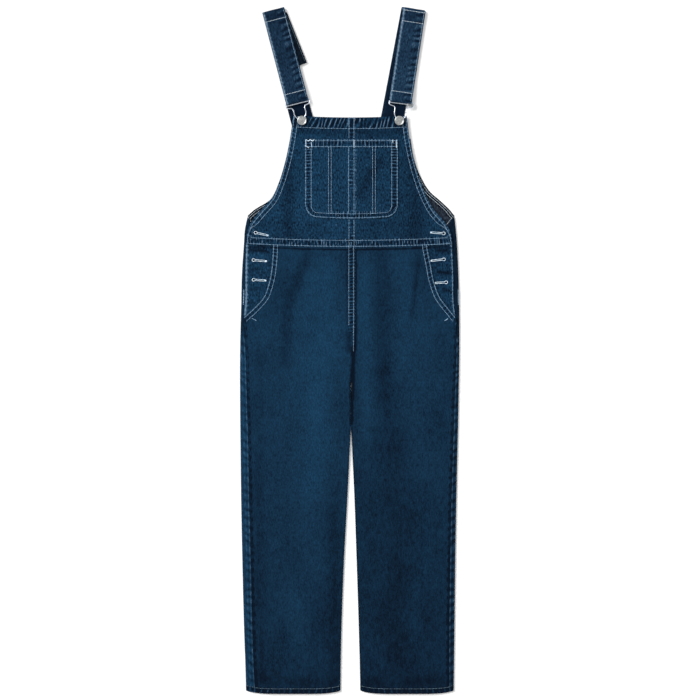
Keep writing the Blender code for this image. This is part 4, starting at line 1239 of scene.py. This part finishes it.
# %% Straps
STRAP, STRAP_CLOTH, WIRE, BAR_Z = 50.0, 2.2, 1.2, 6.5  # BAR_Z: height of the clip's bar
TURN = WIRE + GAP
STRAP_HEM, STRAP_LOOP = 20.0, 26.0
STRAP_LOW = STRAP_CLOTH + 0.3  # inner face of the run that lies on the table
Strap = namedtuple("Strap", "side bar top back_end spread slip shade")
STRAPS = [
    Strap("right", (-118.6, 1303.9), (-171.2, 1505.5), (-84.0, 1172.0), 3.0, 0.0, -0.09),
    Strap("left", (109.0, 1304.0), (140.0, 1507.8), (73.0, 1172.0), 1.6, -4.0, 0.0),
]
TAIL_START, TAIL_END = (-164.5, 1491.0), (-120.1, 1380.0)
HALF_STRAP = np.concatenate([NEAR, [4.2, 5.8, 7.6, 9.6, 12.0, 15.0, 18.5, 22.0]])
STRAP_COLUMNS = np.concatenate([HALF_STRAP - STRAP / 2, STRAP / 2 - HALF_STRAP[::-1]])
EDGE_ROWS = (5, -6)  # the columns of the sewing beside the two long edges


def heading(start, end):
    """(length, unit vector, the unit vector to its right) from one point to another."""
    way = np.subtract(end, start)
    length = math.hypot(*way)
    return length, way / length, np.array([way[1], -way[0]]) / length


def strap_path(spec):
    """(middle, height, direction across, top hem) along a strap's inner face, and how many of
    the points lie before the end of each of its five parts: the end that is turned in, the bend
    round the bar, the front run, the fold at the top and the run behind."""
    front, up, right = heading(spec.bar, spec.top)
    bar, low, radius = np.array(spec.bar), STRAP_LOW + spec.spread, spec.spread / 2
    turned = np.append(np.arange(STRAP_LOOP, 1, -2.5), 0.8)[:, None]
    loop = np.linspace(0, math.pi, 15)[:, None]
    run = np.arange(0.8, front - radius - STRAP_CLOTH, 2.4)[:, None]
    fold = bar + up * (front - radius - STRAP_CLOTH)
    _, back_up, back_right = heading(spec.back_end, spec.top)
    slipped = right * spec.slip
    back, down, _ = heading(fold + slipped, spec.back_end)
    mix = np.linspace(0, 1, 17)[:, None]
    bulge = (up * (1 - mix) + back_up * mix) * radius * np.sin(mix * math.pi)
    behind = np.append(np.arange(1.5, back, 2.6), back)[:, None]
    settle, hem = smooth(run / 58), 0.7 * smooth((run - front + STRAP_HEM + 2) / 2)
    over_back = (CLOTH + GAP) * smooth((behind - back + 78) / 24)
    parts = [
        (bar + up * turned, BAR_Z - TURN, right, 0.0),
        (bar - up * TURN * np.sin(loop), BAR_Z - TURN * np.cos(loop), right, 0.0),
        (bar + up * run, (BAR_Z + TURN) * (1 - settle) + low * settle, right, hem),
        (
            fold + slipped * mix + bulge,
            low - radius + radius * np.cos(mix * math.pi),
            right * (1 - mix) + back_right * mix,
            0.7 * (1 - mix),
        ),
        (fold + slipped + down * behind, STRAP_LOW + over_back, back_right, 0.0),
    ]
    sizes = [len(part[0]) for part in parts]
    path = []
    for k, width in enumerate((2, 1, 2, 1)):
        path.append(np.concatenate([np.broadcast_to(part[k], (n, width)) for part, n in zip(parts, sizes)]))
    return path, np.cumsum(sizes)


def strap_wall(name, path, ropes, base_tone, hidden_from, finish, node):
    """(piece, face grid, normals) of a strap: its profile lies across the path, its faces lie
    one thickness apart and are rounded at the long edges, and it is plump in the middle. From
    the run where it is hidden it lies flat, is little rubbed, and is painted darker as shade."""
    middle, height, across, raised = path
    columns = STRAP_COLUMNS[None, :]
    flat = middle[:, None] + across[:, None] * columns[..., None]
    base = np.concatenate([flat, np.broadcast_to(height[:, None], (*flat.shape[:2], 1))], axis=2)
    normal = outward(base, 1)
    run = lengths(base[:, STRAP_COLUMNS.size // 2])[:, None] + 0 * columns
    off = STRAP / 2 - columns + 0 * run
    edge = STRAP / 2 - np.abs(columns) + 0 * run
    rope, worn_and_shaded = band(Seam(None, 18.0, 0.0, -0.75 * ropes, 14.6, 0.3, ropes, -0.6 * ropes), off, run)
    other, other_worn = band(Seam(None, 6.0, 0.0, ropes * 0.4, 10.0, 0.5, ropes), STRAP - off, run)
    drop = rounding(edge, EDGE * 1.3)
    pillow = 0.35 * smooth(edge / 14)
    behind = smooth((run - hidden_from) / 9)
    rise = pillow - pillow[0].max() + raised + (rope + other) * (1 - behind) - drop
    outer = base + normal * (STRAP_CLOTH + rise)[..., None]
    inner = base + normal * (drop * 0.8)[..., None]
    # Behind the fold the strap is painted darker as shade; the top hem is a little darker, and slow waves vary the
    # colour along it.
    shade = base_tone + 0.04 * np.sin(run / 37) + 0.03 * np.sin(run / 13 + 1) - 0.3 * behind - 0.12 * raised
    worn_and_shaded = (0.8 * worn_and_shaded + other_worn) * (1 - 0.75 * behind)
    made = wall(name, outer, inner, stacked(columns, run), worn_and_shaded, shade, [finish, finish])
    return keep(made, node), outer, normal


for spec in STRAPS:
    path, ends = strap_path(spec)
    side, name = spec.side, f"strap_cloth_{spec.side}"
    made, grid, normal = strap_wall(name, path, 0.6, spec.shade, 238, denim_strap, f"strap_{side}")
    front_end = int(np.searchsorted(path[3][ends[1] : ends[2], 0], 0.35)) + ends[1]
    rows = []
    for column in EDGE_ROWS:
        for first, last, sunk in ((ends[1] + 1, ends[2], 0.0), (ends[3], ends[4] - 3, 0.25)):
            rows.append(stitch_places(grid[first:last, column] + [0, 0, sunk], normal[first:last, column]))
    crossing = [ends[1] + 8, front_end - (1 if side == "right" else 4), ends[4] - 6]
    if side == "left":
        crossing.append(ends[2] - 2)
    across_rows = [stitch_places(grid[place, 3:-3], normal[place, 3:-3]) for place in crossing]
    sewing = [sew(f"sewing_strap_{side}", rows, thread_bright)]
    sewing.append(sew(f"sewing_strap_ends_{side}", across_rows, thread_white, width=0.6))
    declare(made, grid, sewing)

# %% The spare end of the right strap
_, way, right = heading(TAIL_START, TAIL_END)
share = np.linspace(0, 1, 46)[:, None]
middle = np.array(TAIL_START) + (np.array(TAIL_END) - TAIL_START) * share
path = middle[::-1], STRAP_CLOTH + 0.4 + 0 * share, -right + 0 * middle, 0 * share
# The spare end lies under the strap's front run: dark cloth, painted darker still as shade.
tail, grid, normal = strap_wall(
    "strap_cloth_tail", path, 0.05, -0.28, 999, denim_back, "strap_tail_right"
)
rows = [stitch_places(grid[2:-2, column], normal[2:-2, column]) for column in EDGE_ROWS]
declare(tail, grid, [sew("sewing_strap_tail", rows, thread_worn)])

# %% [markdown]
# ## Clips and buttons
#
# The clip is one bent wire. A second bar lies just below the strap's end. The wire is a small
# circle carried along the loop. The button is turned: a profile from its middle over the rolled
# rim to the post, swept round in a circle.

# %% Clips
CLIPS = {"right": (-118.6, 1303.9), "left": (111.7, 1303.8)}
CLIP_HALF = [
    (25.2, 0.0), (26.8, 2.0), (27.0, 6.5), (25.4, 9.8), (21.4, 11.4), (15.6, 12.8),
    (13.2, 16.2), (12.8, 21.5), (12.8, 28.0), (10.8, 34.0), (7.2, 38.6),
]
HOOK_Z, CAP_LOW, BUTTON_R, POST_R = 1.9, 3.5, 10.5, 4.0
HOOK_R = POST_R + GAP + WIRE
WIRE_SIDES, BUTTON_SIDES = 12, 56
DOME = np.array([(0, 0.02), (0.004, 0.4), (0.02, 0.75), (0.05, 0.93), (0.1, 1), (0.5, 1)])
DOMED = np.concatenate([DOME, (DOME * [-1, 1] + [1, 0])[-2::-1]])  # run and radius of a short bar


def on_bib(point):
    """Height of the hem at the top of the bib, without its puckers."""
    return float(bib_low(np.array(point[0]), np.array(point[1]))) + CLOTH + 1.1


def rounded(points, steps=7):
    """A smooth closed line through points: a cubic between each two, whose slopes are those of
    the points on either side."""
    before, after, beyond = (np.roll(points, -k, axis=0) for k in (-1, 1, 2))
    t = np.linspace(0, 1, steps, endpoint=False)[None, :, None]
    p, a, b, c = (part[:, None] for part in (points, before, after, beyond))
    line = p + 0.5 * t * (b - a + t * (2 * a - 5 * p + 4 * b - c + t * (3 * (p - b) + c - a)))
    return line.reshape(-1, points.shape[1])


def rings(count, sides):
    """Point numbers of rings of points, with the first of each ring once more at its end."""
    index = np.arange(count * sides).reshape(count, sides)
    return np.concatenate([index, index[:, :1]], axis=1)


def tube(path, radius, closed=True):
    """(points, faces) of a round wire: a circle square to the path at each of its points. It is
    closed in a loop, or its radius shrinks to almost nothing at its ends."""
    ahead, behind = (np.roll(path, k, axis=0) for k in (-1, 1))
    way = ahead - behind if closed else np.gradient(path, axis=0)
    way = way / np.linalg.norm(way, axis=1)[:, None]
    side = np.cross(way, [0.0, 0.0, 1.0])
    side = side / np.linalg.norm(side, axis=1)[:, None]
    angle = np.linspace(0, 2 * math.pi, WIRE_SIDES, endpoint=False)[None, :, None]
    circle = side[:, None] * np.cos(angle) + np.cross(side, way)[:, None] * np.sin(angle)
    points = path[:, None] + circle * np.broadcast_to(radius, len(path))[:, None, None]
    index = rings(len(path), WIRE_SIDES)
    if closed:
        index = np.concatenate([index, index[:1]])
    points = points.reshape(-1, 3)
    return points, outside_out(points, quads(index))


def bar(start, end, radius):
    """A short straight wire with round ends."""
    return tube(start + (end - start) * DOMED[:, :1], radius * DOMED[:, 1], closed=False)


def joined(parts):
    """Several (points, faces) as one."""
    shifts = np.cumsum([0] + [len(points) for points, _ in parts[:-1]])
    return np.concatenate([p for p, _ in parts]), np.concatenate([f + s for (_, f), s in zip(parts, shifts)])


def on_clip(side, flat, lift=0.0):
    """Points of a clip, given as distances aside and down from its bar. Between the strap and
    the button its height changes in an S-curve."""
    flat = np.asarray(flat, float)
    _, up, right = heading(BUTTONS[side], CLIPS[side])
    place = np.array(CLIPS[side]) + right * flat[:, :1] - up * flat[:, 1:]
    hook = on_bib(BUTTONS[side]) + HOOK_Z
    return np.concatenate([place, BAR_Z + (hook - BAR_Z) * smooth(flat[:, 1:] / 24) + lift], axis=1)


for side in SIGN:
    drop, _, _ = heading(BUTTONS[side], CLIPS[side])
    half = CLIP_HALF + [(HOOK_R * math.cos(a), drop + HOOK_R * math.sin(a)) for a in np.radians([0, 30, 60])]
    loop = half + [(0.0, drop + HOOK_R)] + [(-aside, run) for aside, run in half[::-1]]
    loop += [(aside, 0.0) for aside in (-16, -8, 0, 8, 16)]
    parts = [tube(on_clip(side, rounded(np.array(loop))), WIRE)]
    parts.append(bar(*on_clip(side, [(-26.0, 5.2), (26.0, 5.2)], lift=0.2), WIRE * 1.1))
    wire_faces = sum(len(faces) for _, faces in parts)
    if side == "left":
        for down in (3.0, 5.6, 8.2):
            parts.append(bar(*on_clip(side, [(12.5, down + 0.4), (27.2, down)], lift=0.8), WIRE))
    points, faces = joined(parts)
    ribs = np.arange(len(faces)) >= wire_faces
    keep(make_piece(f"clip_{side}", points, faces, [steel, nickel], finish_index=ribs), f"buckle_{side}")

# %% Buttons
CAP = np.array([
    (0.0, 5.75), (2.2, 5.72), (4.5, 5.62), (6.3, 5.45), (7.4, 5.32), (7.9, 5.4), (8.3, 5.72), (8.8, 5.9),
    (9.4, 5.88), (9.95, 5.62), (10.3, 5.2), (BUTTON_R, 4.6), (10.4, 4.1), (10.1, 3.75), (9.6, 3.56),
    (8.6, CAP_LOW), (6.0, CAP_LOW), (POST_R + 0.4, CAP_LOW), (POST_R, 3.2), (POST_R, 1.0),
    (POST_R + 0.3, 0.5), (POST_R + 0.2, GAP), (0.0, GAP),
])


def turned(profile, centre):
    """(points, faces) of a profile swept round an upright axis, with a point at each pole."""
    angle = np.linspace(0, 2 * math.pi, BUTTON_SIDES, endpoint=False)[None, :]
    radius, height = profile[1:-1, :1], profile[1:-1, 1:]
    ring = stacked(radius * np.cos(angle), radius * np.sin(angle), height)
    points = np.concatenate([ring.reshape(-1, 3), [[0, 0, profile[0, 1]], [0, 0, profile[-1, 1]]]])
    index, pole = rings(len(radius), BUTTON_SIDES), np.full(BUTTON_SIDES, len(points) - 2)
    cells = quads(index)
    faces = [cells[:, [0, 1, 2]], cells[:, [0, 2, 3]], np.stack([index[0, 1:], index[0, :-1], pole], axis=-1)]
    faces.append(np.stack([index[-1, :-1], index[-1, 1:], pole + 1], axis=-1))
    return points + np.array(centre), outside_out(points, np.concatenate(faces))


for side, (x, y) in BUTTONS.items():
    button = make_piece(f"cap_{side}", *turned(CAP, (x, y, on_bib((x, y)))), [nickel])
    keep(button, f"button_{side}")

# %% [markdown]
# ## Buttonholes and bartacks
#
# Three keyhole buttonholes sit at each hip. A keyhole is a slit with a round eye, and its rim is
# closely sewn with thread across the edge; a bartack closes its tail. The stitch shape does for
# all of it: the stitches just lie square to the rim. Bartacks are the short dense bars that hold
# the ends of the pocket mouths.

# %% Buttonholes
HOLES = {
    "right": [(-213.0, 1015.5, -181.5, 1008.5), (-217.5, 955.0, -185.0, 952.0), (-217.5, 911.5, -186.5, 909.5)],
    "left": [(207.0, 1013.0, 174.5, 1015.5), (207.5, 956.5, 174.5, 953.0), (212.5, 906.0, 182.5, 904.0)],
}
EYE = 3.1


def hip_face(side, x, y):
    """Face of whatever lies on top at the hip: the facing below the waist seam, else the bib."""
    return bib_face(side, x, y) if float(np.mean(y)) > WAIST + 8 else facing_face(side, x, y)


def keyhole(start, end):
    """(rim, way, right) of a keyhole: the rim goes up one lip of the slit, round the eye and
    down the other lip."""
    length, way, right = heading(start, end)
    turn = np.linspace(-math.pi * 0.8, math.pi * 0.8, 26)
    round_eye = stacked(EYE - EYE * np.cos(turn), EYE * np.sin(turn))
    lip = np.linspace(2 * EYE + 0.4, length - 3, 24)
    rim = np.concatenate([stacked(lip, -1.45)[::-1], round_eye, stacked(lip, 1.45)])
    return start + rim[:, :1] * way + rim[:, 1:] * right, way, right


def across_row(face, side, line, pitch):
    """Stitches square to a line, laid side by side along it."""
    middle, way, up = stitch_places(lifted(face, side, line), pitch=pitch)
    return middle, np.cross(up, way), up


for side in SIGN:
    rims, tails, slits = [], [], []
    for hole in HOLES[side]:
        start, end = np.array(hole[:2]), np.array(hole[2:])
        rim, way, right = keyhole(start, end)
        rims.append(across_row(hip_face, side, resampled(rim, 0.4), 0.7))
        tails.append(across_row(hip_face, side, resampled(np.array([end, end - 4 * way]), 0.3), 0.62))
        share = np.linspace(0, 1, 24)[:, None]
        middle = start + way * 0.8 + (end - way * 4 - (start + way * 0.8)) * share
        wide = np.where(share < 0.24, np.sqrt(np.clip(1 - ((share - 0.1) / 0.115) ** 2, 0.01, 1)) * 2.2, 0.5)
        outline = middle[:, None] + right * wide[:, None] * np.array([-1.0, 0.0, 1.0])[None, :, None]
        x, y = outline[..., 0], outline[..., 1]
        face = hip_face(side, x, y)[1]
        slits.append((stacked(x, y, face + 0.12), stacked(x, y, face - 0.5)))
    sew(f"buttonholes_{side}", rims, thread_white, length=1.6, width=0.46)
    sew(f"buttonhole_ends_{side}", tails, thread_white, length=4.6, width=0.46)
    # Each slit is a thin sheet of the darkest cloth in the opening: painted shade where the slit shows.
    for number, (outer, inner) in enumerate(slits):
        zero = np.zeros(outer.shape[:2])
        name, finishes = f"slit_{side}_{number + 1}", [denim_back] * 2
        keep(wall(name, outer, inner, outer[..., :2], zero - 1, zero - 0.9, finishes))

# %% Bartacks
POCKET_BARS = [
    (-99.0, 1219.8, -94.0, 1216.0), (-94.0, 1216.0, -89.5, 1219.8), (-89.5, 1219.8, -85.0, 1216.0),
    (-85.0, 1216.0, -80.5, 1219.8), (-99.5, 1218.0, -99.0, 1204.0), (-86.0, 1202.5, -87.5, 1213.0),
    (99.5, 1219.0, 99.8, 1201.0), (92.0, 1219.0, 92.0, 1213.0), (6.6, 1219.0, 6.6, 1202.0),
    (-101.0, 1206.0, -92.0, 1201.5),
]
HIP_BARS = [(-217.8, 826.5, -208.5, 821.5), (213.5, 826.0, 206.0, 821.0)]


def bartacks(name, face, bars, joint, finish, length, width):
    """Short dense bars of thread. Those right of the joint lie on the right half."""
    places = []
    for x0, y0, x1, y1 in bars:
        line = resampled(np.array([(x0, y0), (x1, y1)]), 0.3)
        places.append(across_row(face, "right" if x0 < joint else "left", line, 0.6))
    sew(name, places, finish, length, width)


bartacks("bartacks_pocket", pocket_face, POCKET_BARS, 11, thread_white, length=1.9, width=0.42)
bartacks("bartacks_hip", leg_face, HIP_BARS, 0, thread_bright, length=1.7, width=0.4)

# %% [markdown]
# ## Floor and the list of cuts
#
# The floor is a plain pale board just under the garment. It belongs to the stage, not to the
# object. Last, the cut sizes of the panels are printed.

# %% Floor
FLOOR, FLOOR_Z = 9000.0, -0.4
floor_material, shader, start = new_material("floor_board", {"Roughness": 0.9, "Specular IOR Level": 0.1})
spot = start.node("TexCoord", {}, {}, out="Object")
cloudy = (0.5 + spot.stretched(300.0, 300.0)).limited()
plug(shader, "Base Color", cloudy.mixed((0.93, 0.93, 0.93, 1), (0.95, 0.95, 0.95, 1)))
corners = [(x * FLOOR, y * FLOOR, FLOOR_Z) for x, y in ((-1, -1), (1, -1), (1, 1), (-1, 1))]
make_piece("floor", np.array(corners), np.array([[0, 1, 2, 3]]), [floor_material])

# %% Finish
print("cuts (width, length, area):", CUTS)
